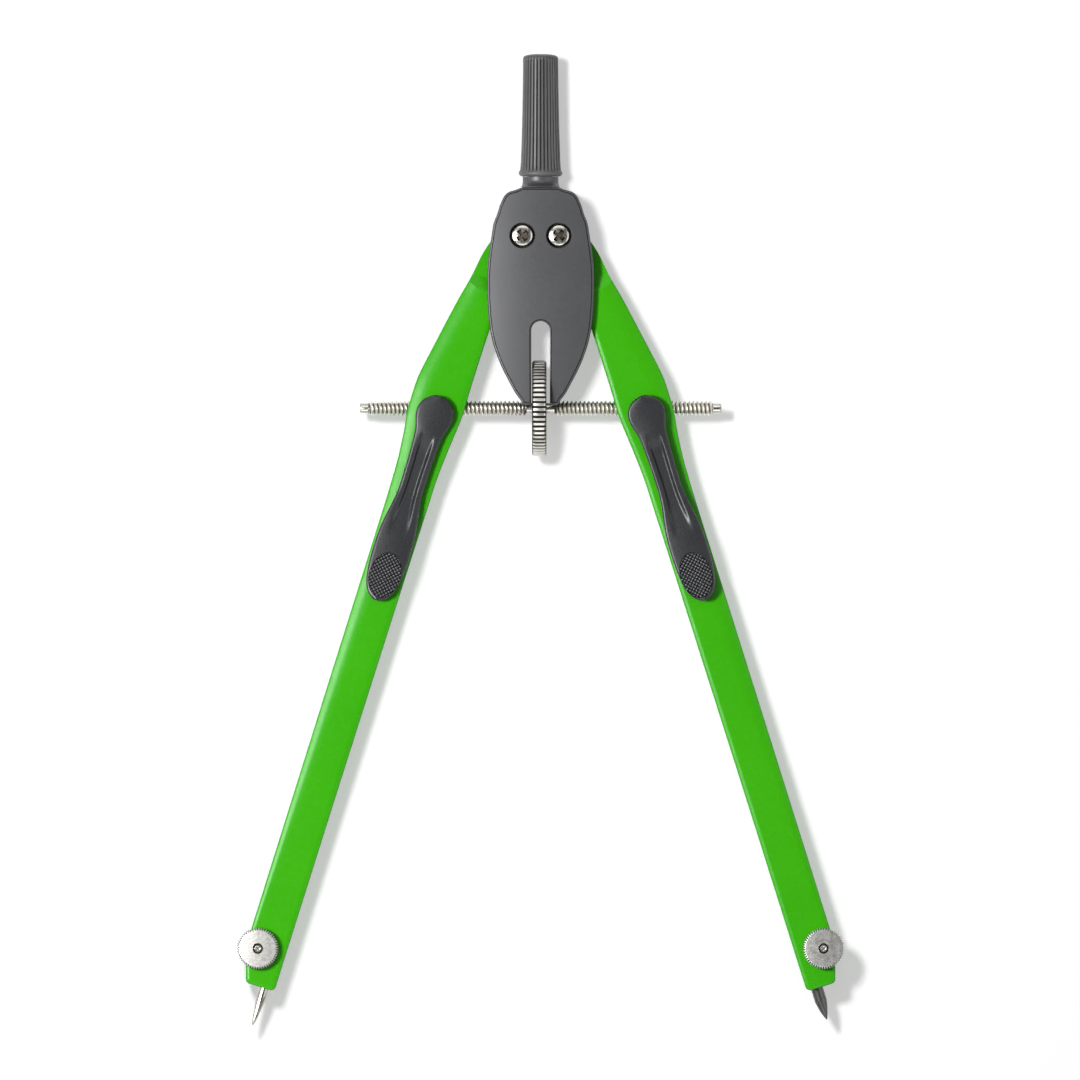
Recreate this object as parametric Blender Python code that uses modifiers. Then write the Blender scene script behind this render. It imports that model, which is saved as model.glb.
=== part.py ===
"""Quick-setting bow compass, 170 mm class.

The compass lies flat: +Y runs from the points to the handle, +X to the lead leg and +Z out of the front
cover. The origin is on the back of the rear cover, midway between the two leg pivots. Each leg is drawn in
its own frame: "along" runs down the leg from its pivot, "out" runs away from the other leg, and heights are
taken from the compass's middle plane.
"""

import math

import bmesh
import bpy
from mathutils import Matrix, Vector

MM = 0.001

# Gaps
CLEARANCE = 0.3 * MM
FINE_CLEARANCE = 0.15 * MM
OVERRUN = 2.0 * MM

# Head
PIVOT_SPACING = 6.1 * MM
HEAD_HALF_WIDTH = 8.95 * MM
HEAD_BELOW_PIVOTS = 28.3 * MM
HEAD_ABOVE_PIVOTS = 8.0 * MM
HEAD_HALF_SHARES = (  # (half width, height), of the half width and of the height above or below the pivots
    (0.363, 1.0), (0.386, 0.987), (0.447, 0.959), (0.525, 0.934), (0.592, 0.909), (0.648, 0.862),
    (0.687, 0.806), (0.718, 0.74), (0.765, 0.615), (0.811, 0.447), (0.88, 0.237), (0.92, -0.01),
    (0.965, -0.11), (0.99, -0.19), (1.0, -0.285), (0.99, -0.40), (0.955, -0.53), (0.895, -0.63),
    (0.80, -0.72), (0.69, -0.80), (0.56, -0.88), (0.47, -0.93), (0.36, -0.975),
)
COVER_THICKNESS = 1.6 * MM
COVER_RIM_BEVEL = 0.55 * MM
COVER_BOSS_RADIUS = 3.5 * MM
SLOT_WIDTH = 3.12 * MM
SLOT_TOP_DEPTH = 14.3 * MM

# Pivot screws and bushes
SCREW_RADIUS = 0.8 * MM
SCREW_HEAD_RADIUS = 1.85 * MM
SCREW_HEAD_HEIGHT = 0.85 * MM
SCREW_RECESS_RADIUS = 2.12 * MM
SCREW_RECESS_DEPTH = 1.1 * MM
SCREW_END_SETBACK = 0.4 * MM
SCREW_HEAD_SHARES = ((0.0, 1.0), (0.6, 0.94), (1.0, 0.55), (1.0, 0.0))  # (radius, height) of its dome
BUSH_WALL = 0.45 * MM

# Legs
REST_TILT = math.radians(17.5)
OPEN_TRAVEL = math.radians(14.0)
CLOSE_TRAVEL = math.radians(18.0)
LEG_LENGTH = 132.9 * MM
LEG_WIDTH = 9.6 * MM
LEG_THICKNESS = 5.6 * MM
LEG_EDGE_BEVEL = 0.55 * MM
LEG_CORNER_RADIUS = 0.9 * MM
LEG_OUTER_SHARES = (  # (along, out) as shares of the leg's length and width, from the hub down
    (0.007, 0.438), (0.035, 0.557), (0.068, 0.63), (0.102, 0.735), (0.148, 0.85), (0.181, 0.927),
    (0.200, 0.975), (0.214, 0.997), (0.235, 1.0), (0.256, 0.990), (0.270, 0.96), (0.288, 0.93),
    (0.320, 0.895), (0.365, 0.883), (0.955, 0.872), (0.999, 0.68),
)
LEG_INNER_SHARES = (  # from the end back up to the hub
    (1.0, 0.173), (0.75, 0.173), (0.50, 0.160), (0.36, 0.148), (0.325, 0.138), (0.288, 0.104),
    (0.255, 0.062), (0.233, 0.045), (0.20, 0.055), (0.13, 0.05), (0.06, 0.02), (0.022, -0.104),
)
HUB_CORE_SHARES = ((-0.3, 0.0), (-0.45, 0.88))  # (along, out) as shares of the hub's radius, under its teeth
TONGUE_THICKNESS = 3.0 * MM
TONGUE_LENGTH = 8.5 * MM
TONGUE_RAMP = 2.2 * MM

# Meshing teeth at the hubs
GEAR_TEETH = 14
GEAR_ADDENDUM = 0.36 * MM
GEAR_DEDENDUM = 0.50 * MM
GEAR_BACKLASH = 0.1 * MM
GEAR_FACE_STEP = 0.05 * MM
GEAR_PRESSURE_ANGLE = math.radians(20.0)
GEAR_SECTOR = math.radians(53.0)

# Spindle, its cradles and half nuts
NUT_ALONG = 31.89 * MM
NUT_OUT_SHARE = 0.5354
SPINDLE_RADIUS = 1.265 * MM
SPINDLE_THREAD_HALF = 28.7 * MM
SPINDLE_END_LENGTH = 1.5 * MM
SPINDLE_END_RADIUS = 0.83 * MM
SPINDLE_NECK_HALF = 2.35 * MM
SPINDLE_NECK_RADIUS = 0.9 * MM
SPINDLE_CHAMFER = 0.35 * MM
CRADLE_RADIUS = 1.9 * MM
CRADLE_FLOOR = 0.7 * MM
CRADLE_BOSS_RADIUS = 1.2 * MM
CRADLE_TOP_DEPTH = 0.2 * MM
CRADLE_WEB = 0.25 * MM
NUT_RADIUS = 1.75 * MM
NUT_PIN_RADIUS = 0.9 * MM
NUT_PIN_HEIGHT = 0.9 * MM

# Thumb wheel
WHEEL_RADIUS = 8.0 * MM
WHEEL_WIDTH = 2.4 * MM
WHEEL_OFFSET = 0.23 * MM
WHEEL_TEETH = 60
WHEEL_TOOTH_DEPTH = 0.3 * MM
WHEEL_CHAMFER = 0.35 * MM

# Quick-release levers
LEVER_START = 29.75 * MM
LEVER_LENGTH = 35.75 * MM
LEVER_OUT_SHARE = 0.5177
LEVER_HALF_WIDTH = 3.16 * MM
LEVER_STATION_SHARES = (  # (place along the lever, half width)
    (0.0, 0.15), (0.018, 0.57), (0.05, 0.88), (0.093, 1.0), (0.135, 0.90), (0.175, 0.77), (0.24, 0.70),
    (0.32, 0.665), (0.40, 0.65), (0.466, 0.655), (0.53, 0.73), (0.60, 0.87), (0.67, 0.97), (0.75, 1.0),
    (0.84, 0.966), (0.916, 0.84), (0.958, 0.66), (0.985, 0.40), (1.0, 0.12),
)
LEVER_GAP = 0.2 * MM
LEVER_THICKNESS = 1.9 * MM
LEVER_EDGE = 0.4 * MM
LEVER_PAD_RISE = 1.2 * MM
LEVER_PAD_THINNING = 0.6 * MM
LEVER_CROWN = 0.2 * MM
LEVER_SCOOP = 0.6 * MM
LEVER_SCOOP_START_SHARE = 0.15
LEVER_SCOOP_END_SHARE = 0.64
LEVER_RAMP_START_SHARE = 0.48
LEVER_WAIST_SHARE = 0.65
LEVER_SHOULDER_SHARE = 0.55
LEVER_SHOULDER_DROP_SHARE = 0.45
PIN_ALONG = 44.5 * MM
PIN_RADIUS = 0.5 * MM
PIN_DEPTH = 1.3 * MM
PIN_SETBACK = 0.35 * MM
LEG_WIDTH_AT_PIN_SHARE = 0.883
LUG_RADIUS = 1.1 * MM
LUG_WALL = 0.45 * MM
SPRING_ALONG = 58.0 * MM
SPRING_RADIUS = 1.05 * MM
SPRING_WIRE = 0.3 * MM
SPRING_TURNS = 3
SPRING_SEAT_DEPTH = 2.3 * MM

# Points and their clamps
BORE_OUT_SHARE = 0.3438
BORE_RADIUS = 1.15 * MM
BORE_DEPTH = 17.0 * MM
NEEDLE_RADIUS = 0.85 * MM
NEEDLE_LENGTH = 22.0 * MM
NEEDLE_REACH = 6.45 * MM
NEEDLE_TAPER = 5.2 * MM
NEEDLE_SHOULDER_SHARES = (0.88, 0.92)  # (radius, height) where the cone ends in a short round
LEAD_RADIUS = 1.0 * MM
LEAD_LENGTH = 20.0 * MM
LEAD_REACH = 5.45 * MM
LEAD_TAPER = 3.3 * MM
LEAD_TAPER_SHARES = (  # (place, radius) from the tip up
    (0.0, 0.07), (0.12, 0.25), (0.27, 0.44), (0.55, 0.71), (0.85, 0.92), (1.0, 1.0),
)
SLIT_WIDTH = 0.5 * MM
SLIT_LENGTH = 16.0 * MM
CLAMP_TO_END = 6.05 * MM
CLAMP_OUT_SHARE = 0.6615
KNOB_RADIUS = 3.52 * MM
KNOB_HEIGHT = 2.2 * MM
KNOB_TEETH = 44
KNOB_TOOTH_DEPTH = 0.16 * MM
KNOB_CHAMFER = 0.3 * MM
STUD_RADIUS = 0.7 * MM
STUD_END_RADIUS = 0.55 * MM
STUD_PROUD = 0.3 * MM
STUD_HEAD_RADIUS = 1.5 * MM
STUD_HEAD_HEIGHT = 0.7 * MM

# Handle
NECK_RADIUS = 3.0 * MM
NECK_TOP = 9.7 * MM
SHOULDER_SHARES = (  # (height, half width, half depth), of the shoulder's height and the neck's radius
    (0.0, 1.08, 1.42), (0.1, 1.05, 1.36), (0.22, 1.02, 1.22), (0.36, 1.0, 1.08), (0.55, 1.0, 1.0),
    (1.0, 1.0, 1.0),
)
YOKE_HALF_WIDTH = 4.7 * MM
YOKE_BOTTOM = 4.1 * MM
YOKE_TOP = 7.1 * MM
CORE_RADIUS = 2.0 * MM
CORE_TOP = 23.5 * MM
GRIP_BOTTOM = 9.85 * MM
GRIP_TOP = 30.3 * MM
GRIP_RADIUS = 3.67 * MM
GRIP_FLUTES = 32
GRIP_FLUTE_DEPTH = 0.16 * MM
GRIP_RING_SHARES = (  # (height share, radius share, flute depth share), from the bottom up
    (0.0, 0.86, 0.0), (0.012, 0.96, 0.0), (0.025, 1.0, 0.0), (0.045, 0.955, 0.0), (0.055, 0.93, 1.0),
    (0.20, 0.875, 1.0), (0.948, 0.80, 1.0), (0.96, 0.798, 0.0), (0.975, 0.78, 0.0),
    (0.989, 0.66, 0.0), (1.0, 0.42, 0.0),
)

# Facets
ROUND_SIDES = 24
PIN_SIDES = 16
SMOOTH_ANGLE = math.radians(35.0)
WELD_DISTANCE = 0.002 * MM

# Sizes that follow from those above
PIVOT_HALF = PIVOT_SPACING / 2
LEG_HALF = LEG_THICKNESS / 2
TONGUE_HALF = TONGUE_THICKNESS / 2
NUT_OUT = LEG_WIDTH * NUT_OUT_SHARE
LEVER_OUT = LEG_WIDTH * LEVER_OUT_SHARE
BORE_OUT = LEG_WIDTH * BORE_OUT_SHARE
CLAMP_OUT = LEG_WIDTH * CLAMP_OUT_SHARE
CLAMP_ALONG = LEG_LENGTH - CLAMP_TO_END
CAVITY_HALF = LEG_HALF + CLEARANCE
HEAD_HALF = CAVITY_HALF + COVER_THICKNESS
BOSS_FACE = TONGUE_HALF + CLEARANCE
BUSH_BORE = SCREW_RADIUS + CLEARANCE
BUSH_RADIUS = BUSH_BORE + BUSH_WALL
PITCH_RADIUS = PIVOT_HALF
HUB_RADIUS = PITCH_RADIUS + GEAR_ADDENDUM
LEVER_UNDERSIDE = LEG_HALF + LEVER_GAP
LEVER_FACE = LEVER_UNDERSIDE + LEVER_THICKNESS
PIN_HEIGHT = LEG_HALF - PIN_DEPTH
LUG_HALF_WIDTH = LEVER_HALF_WIDTH * LEVER_WAIST_SHARE - LUG_WALL
SPINDLE_GROOVE = SPINDLE_RADIUS + FINE_CLEARANCE
SPINDLE_HEIGHT = NUT_OUT * math.sin(REST_TILT) - NUT_ALONG * math.cos(REST_TILT)


def part_finish(name, colour, roughness, metallic):
    """A Principled material for one piece."""
    material = bpy.data.materials.new(name)
    material.use_nodes = True
    shader = material.node_tree.nodes["Principled BSDF"]
    shader.inputs["Base Color"].default_value = (*colour, 1.0)
    shader.inputs["Roughness"].default_value = roughness
    shader.inputs["Metallic"].default_value = metallic
    material.diffuse_color = (*colour, 1.0)
    return material


GREEN_PAINT = ((0.045, 0.47, 0.002), 0.32, 0.0)
GREY_PLASTIC = ((0.075, 0.077, 0.08), 0.45, 0.0)
LEVER_PLASTIC = ((0.052, 0.053, 0.06), 0.42, 0.0)
SATIN_CASTING = ((0.10, 0.10, 0.105), 0.38, 0.35)
NICKEL = ((0.62, 0.60, 0.54), 0.25, 1.0)
BRASS = ((0.70, 0.52, 0.22), 0.35, 1.0)
STEEL = ((0.55, 0.54, 0.52), 0.28, 1.0)
GRAPHITE = ((0.035, 0.034, 0.036), 0.40, 0.1)


def new_collection(name):
    collection = bpy.data.collections.new(name)
    bpy.context.scene.collection.children.link(collection)
    return collection


def joint_empty(name, place, parent=None, turn=0.0):
    """An empty on a joint's axis, which carries the pieces that move with the joint."""
    empty = bpy.data.objects.new(name, None)
    empty.empty_display_size = KNOB_RADIUS
    empty.location = place
    empty.rotation_euler = (0, 0, turn)
    empty.parent = parent
    PARTS.objects.link(empty)
    return empty


def finish_mesh(name, bm, parent, drawn_from):
    bmesh.ops.translate(bm, verts=bm.verts, vec=-drawn_from)
    bmesh.ops.recalc_face_normals(bm, faces=bm.faces)
    mesh = bpy.data.meshes.new(name)
    bm.to_mesh(mesh)
    bm.free()
    obj = bpy.data.objects.new(name, mesh)
    obj.parent = parent
    return obj


def part(name, bm, finish, parent=None, drawn_from=Vector()):
    """A visible piece from a bmesh drawn in its parent's frame, or in one whose origin is drawn_from."""
    obj = finish_mesh(name, bm, parent, drawn_from)
    obj.data.materials.append(part_finish(name, *finish))
    PARTS.objects.link(obj)
    obj.data.shade_smooth()
    obj.data.set_sharp_from_angle(angle=SMOOTH_ANGLE)
    return obj


def cutter(name, bm, parent=None, drawn_from=Vector()):
    """A hidden tool, which a Boolean modifier subtracts or joins."""
    obj = finish_mesh(name, bm, parent, drawn_from)
    CUTTERS.objects.link(obj)
    obj.hide_render = True
    obj.display_type = "WIRE"
    return obj


def boolean(obj, tool, operation="DIFFERENCE"):
    modifier = obj.modifiers.new(f"{operation.lower()} {tool.name}", "BOOLEAN")
    modifier.operation = operation
    modifier.solver = "EXACT"
    modifier.object = tool


def turned(name, profile, finish, sides, parent=None, cyclic=False):
    """A turned piece: a profile of (radius, height) points, top to bottom, with a Screw about local Z."""
    bm = bmesh.new()
    verts = [bm.verts.new((radius, 0, height)) for radius, height in profile]
    pairs = zip(verts, verts[1:] + verts[:1]) if cyclic else zip(verts, verts[1:])
    for first, second in pairs:
        bm.edges.new((first, second))
    mesh = bpy.data.meshes.new(name)
    bm.to_mesh(mesh)
    bm.free()
    obj = bpy.data.objects.new(name, mesh)
    obj.parent = parent
    obj.data.materials.append(part_finish(name, *finish))
    PARTS.objects.link(obj)
    screw = obj.modifiers.new("turn", "SCREW")
    screw.axis = "Z"
    screw.steps = sides
    screw.render_steps = sides
    screw.use_merge_vertices = True
    screw.merge_threshold = WELD_DISTANCE
    screw.use_smooth_shade = False
    return obj


def plate(outline, low, high):
    """A flat outline, filled and extruded between two heights."""
    curve = bpy.data.curves.new("outline", "CURVE")
    curve.dimensions = "2D"
    curve.fill_mode = "BOTH"
    curve.extrude = (high - low) / 2
    spline = curve.splines.new("POLY")
    spline.points.add(len(outline) - 1)
    for point, (x, y) in zip(spline.points, outline):
        point.co = (x, y, 0, 1)
    spline.use_cyclic_u = True
    guide = bpy.data.objects.new("outline", curve)
    PARTS.objects.link(guide)
    mesh = bpy.data.meshes.new_from_object(guide.evaluated_get(bpy.context.evaluated_depsgraph_get()))
    bm = bmesh.new()
    bm.from_mesh(mesh)
    bmesh.ops.remove_doubles(bm, verts=bm.verts, dist=WELD_DISTANCE)
    bmesh.ops.translate(bm, verts=bm.verts, vec=(0, 0, (high + low) / 2))
    bmesh.ops.recalc_face_normals(bm, faces=bm.faces)
    bpy.data.objects.remove(guide)
    bpy.data.meshes.remove(mesh)
    bpy.data.curves.remove(curve)
    return bm


def round_rims(bm, heights, width, segments):
    """Bevel the rims of a plate where its flat faces meet its walls, at the given heights."""
    rims = [
        edge
        for edge in bm.edges
        if any(all(abs(vert.co.z - height) < WELD_DISTANCE for vert in edge.verts) for height in heights)
        and edge.calc_face_angle(0) > SMOOTH_ANGLE
    ]
    bmesh.ops.bevel(bm, geom=rims, offset=width, segments=segments, profile=0.6, affect="EDGES",
                    clamp_overlap=True)
    return bm


def block(low, high):
    bm = bmesh.new()
    bmesh.ops.create_cube(bm, size=1)
    size = Vector(high) - Vector(low)
    bmesh.ops.scale(bm, verts=bm.verts, vec=size)
    bmesh.ops.translate(bm, verts=bm.verts, vec=Vector(low) + size / 2)
    return bm


def rod(radius, start, end, sides=ROUND_SIDES):
    """A plain cylinder between two points."""
    start, end = Vector(start), Vector(end)
    run = end - start
    place = Matrix.Translation((start + end) / 2) @ run.to_track_quat("Z", "Y").to_matrix().to_4x4()
    bm = bmesh.new()
    bmesh.ops.create_cone(bm, cap_ends=True, segments=sides, radius1=radius, radius2=radius,
                          depth=run.length, matrix=place)
    return bm


def lofted(rings):
    """A closed skin over rings of points, all with the same count."""
    bm = bmesh.new()
    loops = [[bm.verts.new(point) for point in ring] for ring in rings]
    for lower, upper in zip(loops, loops[1:]):
        for i in range(len(lower)):
            j = (i + 1) % len(lower)
            bm.faces.new((lower[i], lower[j], upper[j], upper[i]))
    bm.faces.new(loops[0])
    bm.faces.new(loops[-1])
    return bm


def smooth_curve(points, steps):
    """A Catmull-Rom curve through the points, with this many steps between neighbours."""
    curve = []
    for i in range(len(points) - 1):
        before, start = Vector(points[max(i - 1, 0)]), Vector(points[i])
        end, after = Vector(points[i + 1]), Vector(points[min(i + 2, len(points) - 1)])
        for step in range(steps):
            t = step / steps
            curve.append(
                ((2 * start) + (end - before) * t + (2 * before - 5 * start + 4 * end - after) * t**2
                 + (3 * start - before - 3 * end + after) * t**3) / 2
            )
    curve.append(Vector(points[-1]))
    return curve


def rounded_corner(before, corner, after, radius, steps):
    """An arc that replaces a corner of an outline."""
    to_before = (before - corner).normalized()
    to_after = (after - corner).normalized()
    half = to_before.angle(to_after) / 2
    reach = radius / math.tan(half)
    centre = corner + (to_before + to_after).normalized() * (radius / math.sin(half))
    start = (corner + to_before * reach - centre).normalized()
    end = (corner + to_after * reach - centre).normalized()
    return [centre + start.slerp(end, step / steps) * radius for step in range(steps + 1)]


def smoothstep(value):
    value = min(max(value, 0), 1)
    return value * value * (3 - 2 * value)


def leg_point(side, along, out, height=0.0):
    """A point given in a leg's frame. The left leg is the right one mirrored."""
    return Vector((side * out, -along, height))


def head_outline():
    """The shield outline of a cover, counter-clockwise from the top right."""
    points = []
    for width, height in HEAD_HALF_SHARES:
        reach = HEAD_ABOVE_PIVOTS if height > 0 else HEAD_BELOW_PIVOTS
        points.append((HEAD_HALF_WIDTH * width, reach * height))
    half = smooth_curve(points, 2)
    foot = rounded_corner(half[-2], Vector((half[-1].x, -HEAD_BELOW_PIVOTS)), Vector((0, -HEAD_BELOW_PIVOTS)),
                          COVER_RIM_BEVEL, 3)
    right = [*half[:-1], *foot]
    return right + [Vector((-point.x, point.y)) for point in reversed(right)]


def cover(name, front):
    """One cover: shield plate with a wheel slot, and two inner bosses that guide the hubs."""
    facing = 1 if front else -1
    inner, outer = facing * CAVITY_HALF, facing * HEAD_HALF
    body = plate(head_outline(), min(inner, outer), max(inner, outer))
    round_rims(body, [outer], COVER_RIM_BEVEL, 2)
    obj = part(name, body, SATIN_CASTING, HEAD)
    slot_foot = -HEAD_BELOW_PIVOTS - OVERRUN
    slot_outline = [(-SLOT_WIDTH / 2, slot_foot), (SLOT_WIDTH / 2, slot_foot)]
    centre = -SLOT_TOP_DEPTH - SLOT_WIDTH / 2
    for step in range(PIN_SIDES // 2 + 1):
        angle = 2 * math.pi * step / PIN_SIDES
        slot_outline.append((SLOT_WIDTH / 2 * math.cos(angle), centre + SLOT_WIDTH / 2 * math.sin(angle)))
    for side in (-1, 1):
        pivot = Vector((side * PIVOT_HALF, 0, 0))
        boss_low = pivot + Vector((0, 0, facing * BOSS_FACE))
        boss_high = pivot + Vector((0, 0, inner + facing * COVER_THICKNESS / 2))
        boolean(obj, cutter(f"{name}_boss", rod(COVER_BOSS_RADIUS, boss_low, boss_high), HEAD), "UNION")
    for side in (-1, 1):
        pivot = Vector((side * PIVOT_HALF, 0, 0))
        through = Vector((0, 0, facing * (HEAD_HALF + OVERRUN)))
        hole = rod(SCREW_RADIUS + FINE_CLEARANCE, pivot, pivot + through, PIN_SIDES)
        boolean(obj, cutter(f"{name}_screw_hole", hole, HEAD))
        if front:
            floor = Vector((0, 0, HEAD_HALF - SCREW_RECESS_DEPTH))
            recess = rod(SCREW_RECESS_RADIUS, pivot + floor, pivot + through)
            boolean(obj, cutter(f"{name}_recess", recess, HEAD))
    boolean(obj, cutter(f"{name}_slot", plate(slot_outline, -HEAD_HALF - OVERRUN, HEAD_HALF + OVERRUN), HEAD))
    return obj


def pivot_fastening(side, label):
    """A screw through both covers and the bush on which the leg turns."""
    seat = HEAD_HALF - SCREW_RECESS_DEPTH + FINE_CLEARANCE
    dome = [(SCREW_HEAD_RADIUS * wide, seat + SCREW_HEAD_HEIGHT * high) for wide, high in SCREW_HEAD_SHARES]
    screw = turned(
        f"{label}_pivot_screw",
        [
            *dome, (SCREW_RADIUS, seat), (SCREW_RADIUS, SCREW_END_SETBACK - HEAD_HALF),
            (0, SCREW_END_SETBACK - HEAD_HALF),
        ],
        NICKEL, PIN_SIDES, HEAD,
    )
    screw.location = (side * PIVOT_HALF, 0, 0)
    end = BOSS_FACE - FINE_CLEARANCE
    bush = turned(
        f"{label}_pivot_sleeve",
        [(BUSH_RADIUS, end), (BUSH_RADIUS, -end), (BUSH_BORE, -end), (BUSH_BORE, end)],
        BRASS, PIN_SIDES, HEAD, cyclic=True,
    )
    bush.location = (side * PIVOT_HALF, 0, 0)


def ring_of(half_width, half_depth, height, sides=ROUND_SIDES):
    """An oval ring about the handle's axis."""
    angles = (2 * math.pi * step / sides for step in range(sides))
    return [(half_width * math.cos(a), height, half_depth * math.sin(a)) for a in angles]


def handle():
    """The stem, whose yoke spaces the covers, and the fluted grip on its core."""
    base = HEAD_ABOVE_PIVOTS + FINE_CLEARANCE
    rings = [
        ring_of(NECK_RADIUS * width, NECK_RADIUS * depth, base + (NECK_TOP - base) * height)
        for height, width, depth in SHOULDER_SHARES
    ]
    stem = part("handle_stem", lofted(rings), SATIN_CASTING, HEAD)
    core = rod(CORE_RADIUS, (0, YOKE_BOTTOM + OVERRUN, 0), (0, CORE_TOP, 0))
    boolean(stem, cutter("stem_core", core, HEAD), "UNION")
    yoke = block((-YOKE_HALF_WIDTH, YOKE_BOTTOM, -LEG_HALF), (YOKE_HALF_WIDTH, YOKE_TOP, LEG_HALF))
    boolean(stem, cutter("stem_yoke", yoke, HEAD), "UNION")

    points = 2 * GRIP_FLUTES
    rings = []
    for height, width, flute in GRIP_RING_SHARES:
        ring = []
        for i in range(points):
            radius = GRIP_RADIUS * width - GRIP_FLUTE_DEPTH * flute * (i % 2)
            angle = 2 * math.pi * i / points
            level = GRIP_BOTTOM + (GRIP_TOP - GRIP_BOTTOM) * height
            ring.append((radius * math.cos(angle), level, radius * math.sin(angle)))
        rings.append(ring)
    grip = part("handle_grip", lofted(rings), GREY_PLASTIC, HEAD)
    bore = rod(CORE_RADIUS + CLEARANCE, (0, GRIP_BOTTOM - OVERRUN, 0), (0, CORE_TOP + CLEARANCE, 0))
    boolean(grip, cutter("grip_bore", bore, HEAD))


def involute(angle):
    return math.tan(angle) - angle


def hub_outline(side, gap_on_centre_line):
    """The hub's round outline with involute teeth on the side that faces the other hub."""
    base = PITCH_RADIUS * math.cos(GEAR_PRESSURE_ANGLE)
    root = PITCH_RADIUS - GEAR_DEDENDUM
    pitch = 2 * math.pi / GEAR_TEETH
    facing = math.pi - REST_TILT
    half_tooth = pitch / 4 - GEAR_BACKLASH / (4 * PITCH_RADIUS) + involute(GEAR_PRESSURE_ANGLE)

    def half_gap(radius):
        pressure = math.acos(min(base / radius, 1))
        return pitch / 2 - half_tooth + involute(pressure)

    radii = (HUB_RADIUS, (HUB_RADIUS + base) / 2, base, root)
    outline = []
    for i in range(GEAR_TEETH):
        offset = (i + (0 if gap_on_centre_line else 1 / 2)) * pitch
        wrapped = math.remainder(offset, 2 * math.pi)
        flank = radii if abs(wrapped) < GEAR_SECTOR else radii[:1]
        for radius in flank:
            outline.append((radius, facing + offset - half_gap(radius)))
        for radius in reversed(flank):
            outline.append((radius, facing + offset + half_gap(radius)))
    return [(side * radius * math.cos(angle), radius * math.sin(angle)) for radius, angle in outline]


def leg_outline(side):
    """The leg's outline in its own frame, from the hub down the outer edge and back up the inner one."""
    outer = [Vector((LEG_LENGTH * along, LEG_WIDTH * out)) for along, out in LEG_OUTER_SHARES]
    inner = [Vector((LEG_LENGTH * along, LEG_WIDTH * out)) for along, out in LEG_INNER_SHARES]
    end = Vector((LEG_LENGTH, outer[-1].y))
    outline = smooth_curve(outer[:-2], 1)
    outline += rounded_corner(outer[-3], outer[-2], outer[-1], LEG_CORNER_RADIUS * 2, 2)
    outline += rounded_corner(outer[-2], end, inner[0], LEG_CORNER_RADIUS, 4)
    outline += rounded_corner(end, inner[0], inner[1], LEG_CORNER_RADIUS, 4)
    outline += inner[1:]
    outline += [Vector(share) * HUB_RADIUS for share in HUB_CORE_SHARES]
    return [leg_point(side, point.x, point.y).xy for point in outline]


def spindle_window(side):
    """A fan through the leg, as wide as the spindle sweeps while the leg swings."""
    closed = math.tan(REST_TILT - CLOSE_TRAVEL)
    opened = math.tan(REST_TILT + OPEN_TRAVEL)
    half = SPINDLE_RADIUS + CLEARANCE
    wide_half = half / math.cos(REST_TILT + OPEN_TRAVEL)
    reach = LEG_WIDTH
    fan = [
        (-reach, -opened * reach - wide_half), (0, -wide_half), (reach, closed * reach - half),
        (reach, opened * reach + wide_half), (0, wide_half), (-reach, half - closed * reach),
    ]
    outline = [leg_point(side, NUT_ALONG + along, NUT_OUT + out).xy for out, along in fan]
    return plate(outline, -half, half)


def ramp_cutter(side, facing):
    """The wedge that thins the top of a leg to its tongue."""
    low, high = facing * TONGUE_HALF, facing * (LEG_HALF + OVERRUN)
    slope = TONGUE_RAMP * (LEG_HALF + OVERRUN - TONGUE_HALF) / (LEG_HALF - TONGUE_HALF)
    profile = [(-LEG_WIDTH, low), (TONGUE_LENGTH, low), (TONGUE_LENGTH + slope, high), (-LEG_WIDTH, high)]
    rings = [
        [leg_point(side, along, out, height) for along, height in profile]
        for out in (-LEG_WIDTH, LEG_WIDTH * 2)
    ]
    return lofted(rings)


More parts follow.
